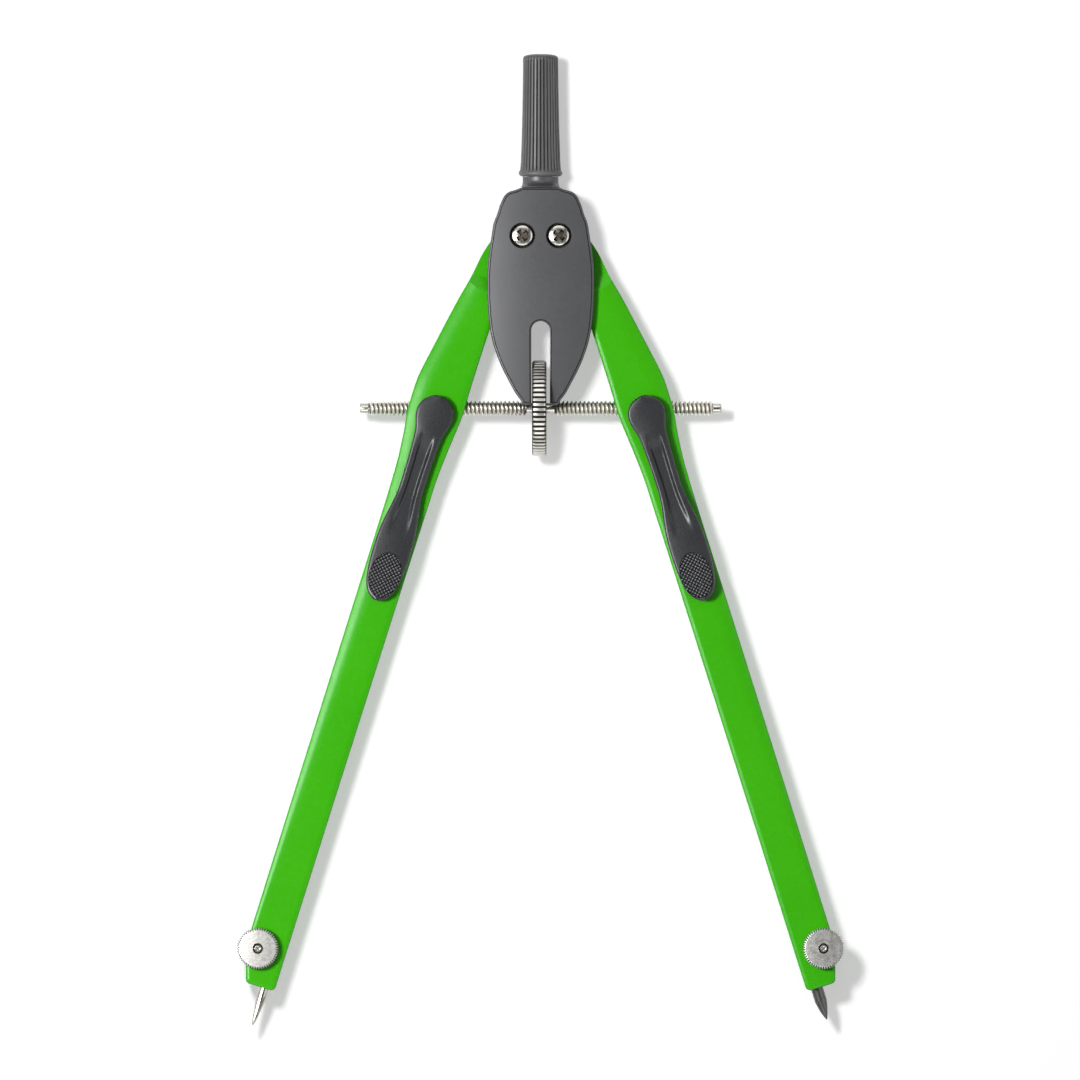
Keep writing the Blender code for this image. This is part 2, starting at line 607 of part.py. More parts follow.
def leg(side, label):
    """A leg with its toothed hub, lever and nut pockets, spindle window, bore, slit and stud hole."""
    joint = joint_empty(f"{label}_leg_pivot", (side * PIVOT_HALF, 0, 0), HEAD, side * REST_TILT)
    body = round_rims(plate(leg_outline(side), -LEG_HALF, LEG_HALF), [LEG_HALF, -LEG_HALF], LEG_EDGE_BEVEL, 2)
    obj = part(f"{label}_leg", body, GREEN_PAINT, joint)
    for facing in (1, -1):
        boolean(obj, cutter(f"{label}_ramp", ramp_cutter(side, facing), joint))
    gear_half = TONGUE_HALF + GEAR_FACE_STEP
    hub = plate(hub_outline(side, side > 0), -gear_half, gear_half)
    boolean(obj, cutter(f"{label}_hub", hub, joint), "UNION")

    def bored(name, radius, start, end, sides=ROUND_SIDES):
        boolean(obj, cutter(f"{label}_{name}", rod(radius, start, end, sides), joint))

    top, bottom = LEG_HALF + OVERRUN, -LEG_HALF - OVERRUN
    bored("hub_bore", BUSH_RADIUS + CLEARANCE, (0, 0, bottom), (0, 0, top))
    boolean(obj, cutter(f"{label}_window", spindle_window(side), joint))
    bored("nut_bore", CRADLE_RADIUS + CLEARANCE, leg_point(side, NUT_ALONG, NUT_OUT, CRADLE_FLOOR - LEG_HALF),
          leg_point(side, NUT_ALONG, NUT_OUT, top))
    bored("cradle_hole", CRADLE_BOSS_RADIUS + CLEARANCE, leg_point(side, NUT_ALONG, NUT_OUT, bottom),
          leg_point(side, NUT_ALONG, NUT_OUT))
    slot_half = LUG_HALF_WIDTH + CLEARANCE
    slot = block(
        leg_point(1, PIN_ALONG + LUG_RADIUS + CLEARANCE, LEVER_OUT - slot_half,
                  PIN_HEIGHT - LUG_RADIUS - CLEARANCE),
        leg_point(1, PIN_ALONG - LUG_RADIUS - CLEARANCE, LEVER_OUT + slot_half, top),
    )
    bmesh.ops.scale(slot, verts=slot.verts, vec=(side, 1, 1))
    boolean(obj, cutter(f"{label}_lug_slot", slot, joint))
    bored("pin_hole", PIN_RADIUS + FINE_CLEARANCE, leg_point(side, PIN_ALONG, pin_start(), PIN_HEIGHT),
          leg_point(side, PIN_ALONG, LEG_WIDTH + OVERRUN, PIN_HEIGHT), PIN_SIDES)
    bored("spring_seat", SPRING_RADIUS + SPRING_WIRE / 2 + CLEARANCE,
          leg_point(side, SPRING_ALONG, LEVER_OUT, LEG_HALF - SPRING_SEAT_DEPTH),
          leg_point(side, SPRING_ALONG, LEVER_OUT, top), PIN_SIDES)
    bored("point_bore", BORE_RADIUS, leg_point(side, LEG_LENGTH - BORE_DEPTH, BORE_OUT),
          leg_point(side, LEG_LENGTH + OVERRUN, BORE_OUT), PIN_SIDES)
    slit = block(
        leg_point(1, LEG_LENGTH + OVERRUN, BORE_OUT, -SLIT_WIDTH / 2),
        leg_point(1, LEG_LENGTH - SLIT_LENGTH, LEG_WIDTH + OVERRUN, SLIT_WIDTH / 2),
    )
    bmesh.ops.scale(slit, verts=slit.verts, vec=(side, 1, 1))
    boolean(obj, cutter(f"{label}_slit", slit, joint))
    bored("stud_hole", STUD_RADIUS + FINE_CLEARANCE, leg_point(side, CLAMP_ALONG, CLAMP_OUT, bottom),
          leg_point(side, CLAMP_ALONG, CLAMP_OUT, top), PIN_SIDES)
    bored("stud_seat", STUD_HEAD_RADIUS + FINE_CLEARANCE, leg_point(side, CLAMP_ALONG, CLAMP_OUT, bottom),
          leg_point(side, CLAMP_ALONG, CLAMP_OUT, STUD_HEAD_HEIGHT + FINE_CLEARANCE - LEG_HALF), PIN_SIDES)
    return joint


def pin_start():
    """How far out the lever pin's inner end lies, inside the leg's inner wall."""
    return LEVER_OUT - LUG_HALF_WIDTH - CLEARANCE - LEVER_EDGE - PIN_RADIUS


def spindle_carriers(side, label, leg_joint, lever_joint):
    """The cradle behind the spindle and the half nut in front of it. Both swivel about the nut's place."""
    place = leg_point(side, NUT_ALONG, NUT_OUT)
    cradle_joint = joint_empty(f"{label}_cradle_axis", place, leg_joint, -side * REST_TILT)
    floor = CRADLE_FLOOR + CLEARANCE - LEG_HALF
    body = rod(CRADLE_RADIUS, (0, 0, min(floor, -SPINDLE_GROOVE - CRADLE_WEB)), (0, 0, -CRADLE_TOP_DEPTH))
    cradle = part(f"{label}_spindle_cradle", body, BRASS, cradle_joint)
    foot, root = (0, 0, FINE_CLEARANCE - LEG_HALF), (0, 0, floor + CRADLE_WEB / 2)
    boss = rod(CRADLE_BOSS_RADIUS, foot, root, PIN_SIDES)
    boolean(cradle, cutter(f"{label}_cradle_boss", boss, cradle_joint), "UNION")
    across = Vector((CRADLE_RADIUS + OVERRUN, 0, 0))
    groove = rod(SPINDLE_GROOVE, -across, across)
    boolean(cradle, cutter(f"{label}_cradle_groove", groove, cradle_joint))

    lever_place = Vector((LEVER_OUT * side, -PIN_ALONG, PIN_HEIGHT))
    nut_joint = joint_empty(f"{label}_nut_axis", place - lever_place, lever_joint, -side * REST_TILT)
    body = rod(NUT_RADIUS, (0, 0, FINE_CLEARANCE), (0, 0, LEG_HALF))
    nut = part(f"{label}_half_nut", body, BRASS, nut_joint)
    pin = rod(NUT_PIN_RADIUS, (0, 0, LEG_HALF / 2), (0, 0, LEVER_UNDERSIDE + NUT_PIN_HEIGHT), PIN_SIDES)
    boolean(nut, cutter(f"{label}_nut_pin", pin, nut_joint), "UNION")
    boolean(nut, cutter(f"{label}_nut_groove", rod(SPINDLE_GROOVE, -across, across), nut_joint))


def lever_section(side, place, width):
    """One cross-section of a lever: flat underside, crowned ends and a scooped waist between two rims."""
    half = LEVER_HALF_WIDTH * width
    edge = min(LEVER_EDGE, half / 2)
    ramp = max(place - LEVER_RAMP_START_SHARE, 0) / (1 - LEVER_RAMP_START_SHARE)
    bottom = LEVER_UNDERSIDE + LEVER_PAD_RISE * ramp
    top = LEVER_FACE + LEVER_PAD_RISE * ramp - LEVER_PAD_THINNING * smoothstep(ramp)
    through = (place - LEVER_SCOOP_START_SHARE) / (LEVER_SCOOP_END_SHARE - LEVER_SCOOP_START_SHARE)
    scoop = math.sin(math.pi * min(max(through, 0), 1)) ** 2
    middle = (LEVER_CROWN * (1 - scoop) - LEVER_SCOOP * scoop) * min(width / LEVER_WAIST_SHARE, 1)
    shoulder, shoulder_top = half * LEVER_SHOULDER_SHARE, top + middle * LEVER_SHOULDER_DROP_SHARE
    section = [
        (-half + edge, bottom), (half - edge, bottom), (half, bottom + edge), (half, top - edge),
        (half - edge, top), (shoulder, shoulder_top), (0, top + middle), (-shoulder, shoulder_top),
        (-half + edge, top), (-half, top - edge), (-half, bottom + edge),
    ]
    along = LEVER_START + LEVER_LENGTH * place
    return [leg_point(side, along, LEVER_OUT + out, height) for out, height in section]


def release_lever(side, label, leg_joint):
    """The rocking lever, its pin across the leg and the coil spring under its pad."""
    place = leg_point(side, PIN_ALONG, LEVER_OUT, PIN_HEIGHT)
    joint = joint_empty(f"{label}_lever_axis", place, leg_joint)
    body = lofted([lever_section(side, along, width) for along, width in LEVER_STATION_SHARES])
    lever = part(f"{label}_release_lever", body, LEVER_PLASTIC, joint, place)
    across = Vector((LUG_HALF_WIDTH, 0, 0))
    eye = rod(LUG_RADIUS, -across, across, PIN_SIDES)
    web_top = LEVER_UNDERSIDE + LEVER_EDGE - PIN_HEIGHT
    web = block((-LUG_HALF_WIDTH, -LUG_RADIUS, 0), (LUG_HALF_WIDTH, LUG_RADIUS, web_top))
    boolean(lever, cutter(f"{label}_lever_web", web, joint), "UNION")
    boolean(lever, cutter(f"{label}_lever_eye", eye, joint), "UNION")
    hole = rod(PIN_RADIUS + FINE_CLEARANCE, -across * 2, across * 2, PIN_SIDES)
    boolean(lever, cutter(f"{label}_lever_hole", hole, joint))
    nut_seat = leg_point(side, NUT_ALONG, NUT_OUT) - place
    socket_height = Vector((0, 0, LEVER_UNDERSIDE + NUT_PIN_HEIGHT + CLEARANCE))
    socket = rod(NUT_PIN_RADIUS + CLEARANCE, nut_seat, nut_seat + socket_height, PIN_SIDES)
    boolean(lever, cutter(f"{label}_lever_socket", socket, joint))

    pin_end = LEG_WIDTH * LEG_WIDTH_AT_PIN_SHARE - PIN_SETBACK
    pin = rod(PIN_RADIUS, leg_point(side, PIN_ALONG, pin_start() + FINE_CLEARANCE, PIN_HEIGHT),
              leg_point(side, PIN_ALONG, pin_end, PIN_HEIGHT), PIN_SIDES)
    part(f"{label}_lever_pin", pin, STEEL, leg_joint)
    lever_spring(side, label, leg_joint)
    return joint


def lever_spring(side, label, leg_joint):
    """A coil spring of round wire, from its seat in the leg to the pad's underside."""
    share = (SPRING_ALONG - LEVER_START) / LEVER_LENGTH
    reach = SPRING_RADIUS / LEVER_LENGTH
    ramp = (share - reach - LEVER_RAMP_START_SHARE) / (1 - LEVER_RAMP_START_SHARE)
    low = LEG_HALF - SPRING_SEAT_DEPTH + SPRING_WIRE / 2 + FINE_CLEARANCE
    high = LEVER_UNDERSIDE + LEVER_PAD_RISE * ramp - SPRING_WIRE / 2 - FINE_CLEARANCE
    steps = 10 * SPRING_TURNS
    points = []
    for step in range(steps + 1):
        angle = 2 * math.pi * SPRING_TURNS * step / steps
        points.append(Vector((SPRING_RADIUS * math.cos(angle), SPRING_RADIUS * math.sin(angle),
                              low + (high - low) * step / steps)))
    per_turn = steps // SPRING_TURNS
    gap = min((b - a).length for a, b in zip(points, points[per_turn:])) - SPRING_WIRE
    print(f"{label} lever spring: least gap between turns {gap / MM:.2f} mm")
    curve = bpy.data.curves.new(f"{label}_lever_spring", "CURVE")
    curve.dimensions = "3D"
    curve.bevel_depth = SPRING_WIRE / 2
    curve.bevel_resolution = 1
    curve.use_fill_caps = True
    spline = curve.splines.new("POLY")
    spline.points.add(steps)
    for point, place in zip(spline.points, points):
        point.co = (*place, 1)
    spring = bpy.data.objects.new(f"{label}_lever_spring", curve)
    spring.data.materials.append(part_finish(f"{label}_lever_spring", *STEEL))
    spring.parent = leg_joint
    spring.location = leg_point(side, SPRING_ALONG, LEVER_OUT)
    PARTS.objects.link(spring)


def spindle_and_wheel():
    """The threaded rod with its plain neck and turned-down ends, and the thumb wheel on the neck."""
    thread_end, end = SPINDLE_THREAD_HALF, SPINDLE_THREAD_HALF + SPINDLE_END_LENGTH
    half = [
        (0, end), (SPINDLE_END_RADIUS - SPINDLE_CHAMFER / 2, end),
        (SPINDLE_END_RADIUS, end - SPINDLE_CHAMFER / 2), (SPINDLE_END_RADIUS, thread_end),
        (SPINDLE_RADIUS - SPINDLE_CHAMFER, thread_end), (SPINDLE_RADIUS, thread_end - SPINDLE_CHAMFER),
        (SPINDLE_RADIUS, SPINDLE_NECK_HALF + SPINDLE_CHAMFER),
        (SPINDLE_NECK_RADIUS, SPINDLE_NECK_HALF),
    ]
    profile = half + [(radius, -height) for radius, height in reversed(half)]
    rod_joint = joint_empty("spindle_axis", (0, SPINDLE_HEIGHT, 0), HEAD)
    spindle = turned("spindle", profile, NICKEL, PIN_SIDES, rod_joint)
    spindle.rotation_euler = (0, math.pi / 2, 0)

    wheel_joint = joint_empty("wheel_axis", (-WHEEL_OFFSET, 0, 0), rod_joint)
    rings = []
    half_width = WHEEL_WIDTH / 2
    for x, inset in ((-half_width, WHEEL_CHAMFER), (-half_width + WHEEL_CHAMFER, 0),
                     (half_width - WHEEL_CHAMFER, 0), (half_width, WHEEL_CHAMFER)):
        ring = knurled_ring(WHEEL_RADIUS - inset, WHEEL_TEETH, WHEEL_TOOTH_DEPTH)
        rings.append([(x, a, b) for a, b in ring])
    wheel = part("thumb_wheel", lofted(rings), NICKEL, wheel_joint)
    across = Vector((WHEEL_WIDTH, 0, 0))
    bore = rod(SPINDLE_NECK_RADIUS + FINE_CLEARANCE, -across, across)
    boolean(wheel, cutter("wheel_bore", bore, wheel_joint))


def knurled_ring(radius, teeth, depth):
    """A ring of straight V teeth, as (a, b) points."""
    ring = []
    for i in range(2 * teeth):
        reach = radius - depth * (i % 2)
        angle = math.pi * i / teeth
        ring.append((reach * math.cos(angle), reach * math.sin(angle)))
    return ring


def point_and_clamp(side, label, leg_joint):
    """The needle or the lead in its bore, the stud across the slit and the knurled nut on it."""
    is_lead = side > 0
    name = "lead" if is_lead else "needle_point"
    radius = LEAD_RADIUS if is_lead else NEEDLE_RADIUS
    length = LEAD_LENGTH if is_lead else NEEDLE_LENGTH
    reach = LEAD_REACH if is_lead else NEEDLE_REACH
    if is_lead:
        taper = [(radius * wide, -LEAD_TAPER * far) for far, wide in LEAD_TAPER_SHARES]
        profile = [(0, 0), *taper, (radius, -length), (0, -length)]
    else:
        wide, far = NEEDLE_SHOULDER_SHARES
        profile = [(0, 0), (radius * wide, -NEEDLE_TAPER * far), (radius, -NEEDLE_TAPER),
                   (radius, -length), (0, -length)]
    slide_joint = joint_empty(f"{name}_axis", leg_point(side, LEG_LENGTH + reach, BORE_OUT), leg_joint)
    point = turned(name, profile, GRAPHITE if is_lead else STEEL, PIN_SIDES, slide_joint)
    point.rotation_euler = (math.pi / 2, 0, 0)

    clamp = leg_point(side, CLAMP_ALONG, CLAMP_OUT)
    knob_joint = joint_empty(f"{label}_knob_axis", clamp, leg_joint)
    seat = LEG_HALF + CLEARANCE
    face = seat + KNOB_HEIGHT
    levels = ((seat, KNOB_CHAMFER), (seat + KNOB_CHAMFER, 0), (face - KNOB_CHAMFER, 0), (face, KNOB_CHAMFER))
    rings = []
    for level, inset in levels:
        ring = knurled_ring(KNOB_RADIUS - inset, KNOB_TEETH, 0 if inset else KNOB_TOOTH_DEPTH)
        rings.append([(a, b, level) for a, b in ring])
    knob = part(f"{label}_clamp_knob", lofted(rings), NICKEL, knob_joint)
    bore = rod(STUD_RADIUS + FINE_CLEARANCE, (0, 0, seat - OVERRUN), (0, 0, face + OVERRUN), PIN_SIDES)
    boolean(knob, cutter(f"{label}_knob_bore", bore, knob_joint))
    foot = -LEG_HALF
    stud = turned(
        f"{label}_clamp_stud",
        [
            (0, face + STUD_PROUD), (STUD_END_RADIUS, face + STUD_PROUD), (STUD_RADIUS, face),
            (STUD_RADIUS, foot + STUD_HEAD_HEIGHT), (STUD_HEAD_RADIUS, foot + STUD_HEAD_HEIGHT),
            (STUD_HEAD_RADIUS, foot), (0, foot),
        ],
        NICKEL, PIN_SIDES, leg_joint,
    )
    stud.location = clamp


for leftover in list(bpy.data.objects):
    bpy.data.objects.remove(leftover)
PARTS = new_collection("drawing_compass")
CUTTERS = new_collection("cutters")
HEAD = joint_empty("head_frame", (0, 0, HEAD_HALF))

cover("head_rear_cover", front=False)
cover("head_front_cover", front=True)
handle()
spindle_and_wheel()
for side, label in ((-1, "left"), (1, "right")):
    pivot_fastening(side, label)
    leg_joint = leg(side, label)
    lever_joint = release_lever(side, label, leg_joint)
    spindle_carriers(side, label, leg_joint, lever_joint)
    point_and_clamp(side, label, leg_joint)
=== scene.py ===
"""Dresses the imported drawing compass: fine meshes, materials, floor, light and camera.

Sizes are in millimetres, and add() turns a mesh into metres. A place on a leg is given as "along", down the
leg from its pivot, "out", away from the other leg, and a height over the compass's middle plane.
"""

from math import acos, atan2, cos, hypot, pi, radians, remainder, sin, sqrt, tan

import bmesh
import bpy
from mathutils import Matrix, Vector


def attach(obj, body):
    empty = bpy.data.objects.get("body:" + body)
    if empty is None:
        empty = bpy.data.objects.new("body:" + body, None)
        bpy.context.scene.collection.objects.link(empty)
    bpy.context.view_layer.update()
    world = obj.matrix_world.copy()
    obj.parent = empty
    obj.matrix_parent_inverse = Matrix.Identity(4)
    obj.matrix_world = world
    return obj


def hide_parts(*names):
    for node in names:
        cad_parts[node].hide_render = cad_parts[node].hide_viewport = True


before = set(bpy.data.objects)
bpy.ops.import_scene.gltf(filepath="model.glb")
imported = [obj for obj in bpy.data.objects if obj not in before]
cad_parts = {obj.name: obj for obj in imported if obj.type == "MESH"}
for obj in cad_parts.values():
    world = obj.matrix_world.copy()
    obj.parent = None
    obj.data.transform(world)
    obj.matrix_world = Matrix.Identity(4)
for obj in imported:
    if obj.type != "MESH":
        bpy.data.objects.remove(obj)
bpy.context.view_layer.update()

MM = 0.001
TAU = 2 * pi
TOUCH = 0.001

# Gaps
CLEARANCE = 0.3
FINE_CLEARANCE = 0.15
OVERRUN = 2.0

# Head. MID is the height of the compass's middle plane.
MID = 4.7
HEAD_HALF = 4.7
CAVITY_HALF = 3.1
PIVOT_HALF = 3.05
HEAD_OUTLINE = (  # (half width, height over the pivots), from the top down
    (3.25, 8.0), (3.45, 7.9), (4.0, 7.67), (4.7, 7.47), (5.3, 7.27), (5.8, 6.9), (6.15, 6.45),
    (6.43, 5.92), (6.85, 4.92), (7.26, 3.58), (7.88, 1.9), (8.24, -0.3), (8.64, -3.1), (8.86, -5.4),
    (8.95, -8.1), (8.86, -11.3), (8.55, -15.0), (8.0, -17.85), (7.16, -20.4), (6.18, -22.65),
    (5.0, -24.9), (4.2, -26.35), (3.25, -27.6),
)
HEAD_FOOT = -28.3
HEAD_FOOT_HALF = 3.0
HEAD_FOOT_ROUND = 0.7
SLOT_HALF = 1.56
SLOT_TOP = -14.3
RIM_BEVEL = 0.32
SLOT_BEVEL = 0.16
RIM_LINE_WIDTH = 0.08
RIM_LINE_DEPTH = 0.05
BOSS_RADIUS = 3.5
BOSS_FACE, BOSS_ROOT = 1.8, 3.5

# Pivot screws and bushes
SCREW_RADIUS = 0.8
SCREW_SEAT = 3.75
SCREW_END = -4.3
SCREW_HEAD = (  # (radius, height over the seat) of its dome
    (0, 0.85), (0.35, 0.845), (0.75, 0.825), (1.1, 0.78), (1.4, 0.72), (1.62, 0.65), (1.75, 0.56),
    (1.82, 0.44), (1.84, 0.32), (1.84, 0.06), (1.78, 0.0),
)
CROSS_TOP = (1.0, 1.18, 0.40)  # (height over the seat, half length, half width) of one blade of the cross
CROSS_BOTTOM = (0.25, 0.80, 0.26)
CROSS_TURN = {"left": 38, "right": 52}
CROSS_WAIST = (0.3, 0.72)  # where a blade is narrower in the middle, as shares of its two halves
RECESS_RADIUS = 2.12
RECESS_FLOOR = 3.6
RECESS_RIM_LOW = (2.08, 4.58)  # (radius, height) of the chamfer round a screw's recess
RECESS_RIM_HIGH = (2.30, 4.8)
BUSH_WALL = 0.45
BUSH_RADIUS = SCREW_RADIUS + CLEARANCE + BUSH_WALL

# Legs
TILT = radians(17.5)
OPEN_TILT = TILT + radians(14.0)
CLOSED_TILT = TILT - radians(18.0)
LEG_LENGTH = 132.9
LEG_WIDTH = 9.6
LEG_HALF = 2.8
LEG_MIDDLE = 3.6
LEG_OUTER = (  # (along, out), from the hub down
    (0.9, 4.2), (4.6, 5.35), (9.0, 6.05), (13.6, 7.06), (19.6, 8.16), (24.0, 8.95), (26.6, 9.4),
    (28.6, 9.58), (31.2, 9.6), (34.0, 9.5), (36.0, 9.2), (38.3, 8.93), (42.5, 8.6), (48.5, 8.48),
)
LEG_INNER = (  # from the end back up to the hub
    (100.0, 1.52), (66.0, 1.44), (48.0, 1.36), (43.2, 1.32), (38.3, 1.0), (34.0, 0.6), (31.0, 0.43),
    (26.6, 0.53), (17.3, 0.48), (8.0, 0.2), (2.9, -1.0),
)
LEG_TOP = ((-1.0, 0.0), (-1.5, 3.0))
LEG_KNEE, LEG_HEEL = (126.9, 8.37), (132.85, 6.53)
LEG_END, LEG_TOE = (LEG_LENGTH, 6.53), (LEG_LENGTH, 1.52)
KNEE_ROUND, END_ROUND, TOE_ROUND = 2.2, 0.9, 0.86
EDGE_ROUND = 0.33
EDGE_TURN = radians(72)
EDGE_STEPS = 5
SLOPE_LEAST, SLOPE_OUTER, SLOPE_INNER = 0.8, 2.6, 0.26  # how far in a face slopes, and how much more along it
SLOPE_START, SLOPE_END = (3, 10), (124.5, 8)  # (along, length) where that extra comes and goes
SLOPE_DROP, SLOPE_DROP_GROWTH, SLOPE_MIDDLE, SLOPE_POWER = 0.28, 0.12, 1.06, 2.2
SLOPE_SHARES = (0.08, 0.17, 0.28, 0.40, 0.55, 0.75, 1.0)
TONGUE_HALF = 1.5
TONGUE_LENGTH = 8.5
TONGUE_RAMP = 2.2
HUB_HALF = 1.55
GEAR_TEETH = 14
GEAR_ADDENDUM = 0.36
GEAR_DEDENDUM = 0.5
GEAR_BACKLASH = 0.1
GEAR_PRESSURE_ANGLE = radians(20)
GEAR_SECTOR = radians(53)

# Spindle, its places in the legs, and wheel
NUT_ALONG, NUT_OUT = 31.89, 5.14
CRADLE_RADIUS = 1.9
CRADLE_FLOOR = 0.7
CRADLE_BOSS_RADIUS = 1.2
SPINDLE_Y = -28.868
THREAD_PITCH = 0.7
THREAD_RADIUS = 1.265
THREAD_ROOT = 0.87
THREAD_START, THREAD_END = 2.35, 28.7
THREAD_FADE = 0.35
THREAD_CREST, THREAD_FLANK = 0.12, 0.72
THREAD_STEPS = 8
SPINDLE_SIDES = 32
NECK_FLAT, NECK_HALF = 2.0, 2.3
NECK_RADIUS = 0.9
PLAIN_START = 28.76
SPINDLE_END = (  # (place, radius), from the end inwards
    (30.2, 0.62), (30.2, 0.70), (30.1, 0.80), (30.0, 0.83), (28.82, 0.83), (28.75, 0.87),
)
WHEEL_TEETH = 60
WHEEL_RADIUS = 8.0
WHEEL_HALF = 1.2
WHEEL_DEPTH = 0.34
WHEEL_OFFSET = -0.23
WHEEL_TOOTH = (  # (place in one tooth's pitch, share of the tooth's depth)
    (0.0, 0), (0.05, 0), (0.44, 0), (0.50, 0.12), (0.56, 0.85), (0.62, 1), (0.88, 1), (0.94, 0.85),
    (0.98, 0.15),
)
WHEEL_RIM = (  # (depth under the face, radius), here and in the next table
    (0.0, 7.6), (0.07, 7.72), (0.22, 7.90), (0.34, 7.98), (0.42, 8.0),
)
WHEEL_FACE = ((0.0, 7.2), (0.12, 6.95), (0.12, 2.6), (0.0, 2.35), (0.0, 1.2), (0.1, 1.06))

# Quick-release levers
LEVER_START = 29.75
LEVER_LENGTH = 35.75
LEVER_HALF = 3.16
LEVER_HEAD_RADIUS, LEVER_HEAD_SHARE = 3.13, 1.25
LEVER_ROWS, LEVER_SPANS = 150, 28
LEVER_END, LEVER_TIP = 0.02, 0.0006
LEVER_OUT = 4.97
LEVER_WIDTHS = (  # (place along the lever, share of its half width)
    (0.0, 0.0), (0.004, 0.30), (0.018, 0.57), (0.05, 0.88), (0.093, 1.0), (0.135, 0.90), (0.175, 0.77),
    (0.24, 0.70), (0.32, 0.665), (0.40, 0.65), (0.466, 0.655), (0.53, 0.73), (0.60, 0.87), (0.67, 0.97),
    (0.75, 1.0), (0.84, 0.966), (0.916, 0.84), (0.958, 0.66), (0.985, 0.40), (0.997, 0.18), (1.0, 0.0),
)
LEVER_UNDERSIDE = 3.0
LEVER_FACE = 4.9
LEVER_EDGE = 0.42
LEVER_LOWER_EDGE = ((0.6, 0), (0.15, 0.2), (0, 0.6))
LEVER_CROWN = 0.16
PAD_START = 0.48
PAD_RISE = 1.2
PAD_THINNING = 0.6
SCOOP_START, SCOOP_END = 0.17, 0.70
SCOOP_DEPTH = 0.62
SCOOP_ENTRY, SCOOP_EXIT = 0.22, 0.40
SCOOP_RIM, SCOOP_FLARE, SCOOP_NARROW = 0.70, 0.08, 0.45
SCOOP_WALL = 0.34
PIN_ALONG = 44.5
PIN_HEIGHT = 1.5
PIN_START = 1.9
PIN_HOLE = 0.5 + FINE_CLEARANCE
LUG_RADIUS, LUG_HEIGHT = 1.1, 1.9
LUG_HALF = LEVER_HALF * 0.65 - 0.45
NUT_PIN_HOLE = 1.2
NUT_PIN_REACH = 4.2
SPRING_ALONG = 58.0
SPRING_RADIUS = 1.05
SPRING_WIRE = 0.3
SPRING_SEAT = 0.5
SPRING_TURNS, SPRING_STEPS = 3, 24
HATCH_ALONG, HATCH_OUT = 61.0, 4.82
HATCH_HALF_LENGTH, HATCH_HALF_WIDTH = 3.85, 2.62
HATCH_PITCH, HATCH_STEPS = 0.5, 6
HATCH_HEIGHT = 0.24
HATCH_SINK = 0.22
HATCH_SKIRT = 0.3
POCKET_DEPTH, POCKET_TOP, POCKET_SHARE = 0.4, 1.5, 1.02

# Points and their clamps
BORE_OUT = 3.3
BORE_RADIUS = 1.15
BORE_DEPTH = 17.0
SLIT_HALF = 0.25
SLIT_LENGTH = 16.0
CLAMP_ALONG, CLAMP_OUT = 126.85, 6.35
STUD_RADIUS = 0.7
STUD_HEAD_RADIUS = 1.5
STUD_HEAD_HEIGHT = 0.7
STUD_PROFILE = (  # (radius, height), from its hollow end down
    (0, 5.50), (0.22, 5.50), (0.30, 5.56), (0.42, 5.6), (0.52, 5.58), (0.58, 5.50), (0.60, 5.38),
    (0.68, 5.27), (0.7, 5.15), (0.7, -2.1), (1.42, -2.1), (1.5, -2.18), (1.5, -2.72), (1.42, -2.8), (0, -2.8),
)
KNOB_BOTTOM, KNOB_TOP = 3.1, 5.3
KNOB_BORE, KNOB_FOOT = 0.85, 3.1
KNOB_TEETH, KNOB_STEPS = 50, 6
# Each knob's nickel brightness: the left lighter and the right darker, as painted light.
KNOB_PAINTED_LIGHT = {"left": 0.62, "right": 0.52}
KNOB_TOP_SHIFT = {"left": 0.0, "right": -1.8}
KNOB_RADIUS = 3.515
KNOB_DEPTH = 0.32
KNOB_NOTCH = 3.02
KNOB_DOME = 0.12
KNOB_LOWER_ROWS = ((0.04, 3.34, 0.1), (0.2, KNOB_RADIUS, KNOB_DEPTH))  # (height, radius, tooth's depth)
KNOB_UPPER_ROWS = (  # (drop from the top, radius, tooth's depth)
    (0.5, KNOB_RADIUS, KNOB_DEPTH), (0.24, 3.48, 0.36), (0.12, 3.40, 0.36), (0.04, 3.20, 0.16),
)
KNOB_FACE = (  # (drop from the top, radius), from the rim to the bore
    (0.0, 3.03), (0.0, 2.95), (0.0, 0.98), (0.0, 0.93), (0.04, 0.88), (0.15, 0.85),
)
NEEDLE_RADIUS, NEEDLE_LENGTH, NEEDLE_REACH = 0.85, 22.0, 6.45
NEEDLE_POINT = (  # (radius, height over the tip)
    (0, 0.01), (0.06, 0.05), (0.18, 0.32), (0.32, 0.9), (0.42, 1.6), (0.53, 2.4), (0.67, 3.4), (0.79, 4.5),
    (0.83, 5.0), (NEEDLE_RADIUS, 5.4),
)
NEEDLE_FLATS = (-20, 46)  # how far each ground flat is turned about the needle, in degrees
GROUND_SHARE, GROUND_TOP, GROUND_FADE = 0.07, 4.9, 1.2
LEAD_RADIUS, LEAD_LENGTH, LEAD_REACH = 1.0, 20.0, 5.45
LEAD_TAPER = 3.27
LEAD_POINT = (  # (place in the taper, radius)
    (0.0, 0.06), (0.12, 0.25), (0.27, 0.44), (0.55, 0.71), (0.85, 0.92), (1.0, 1.0),
)

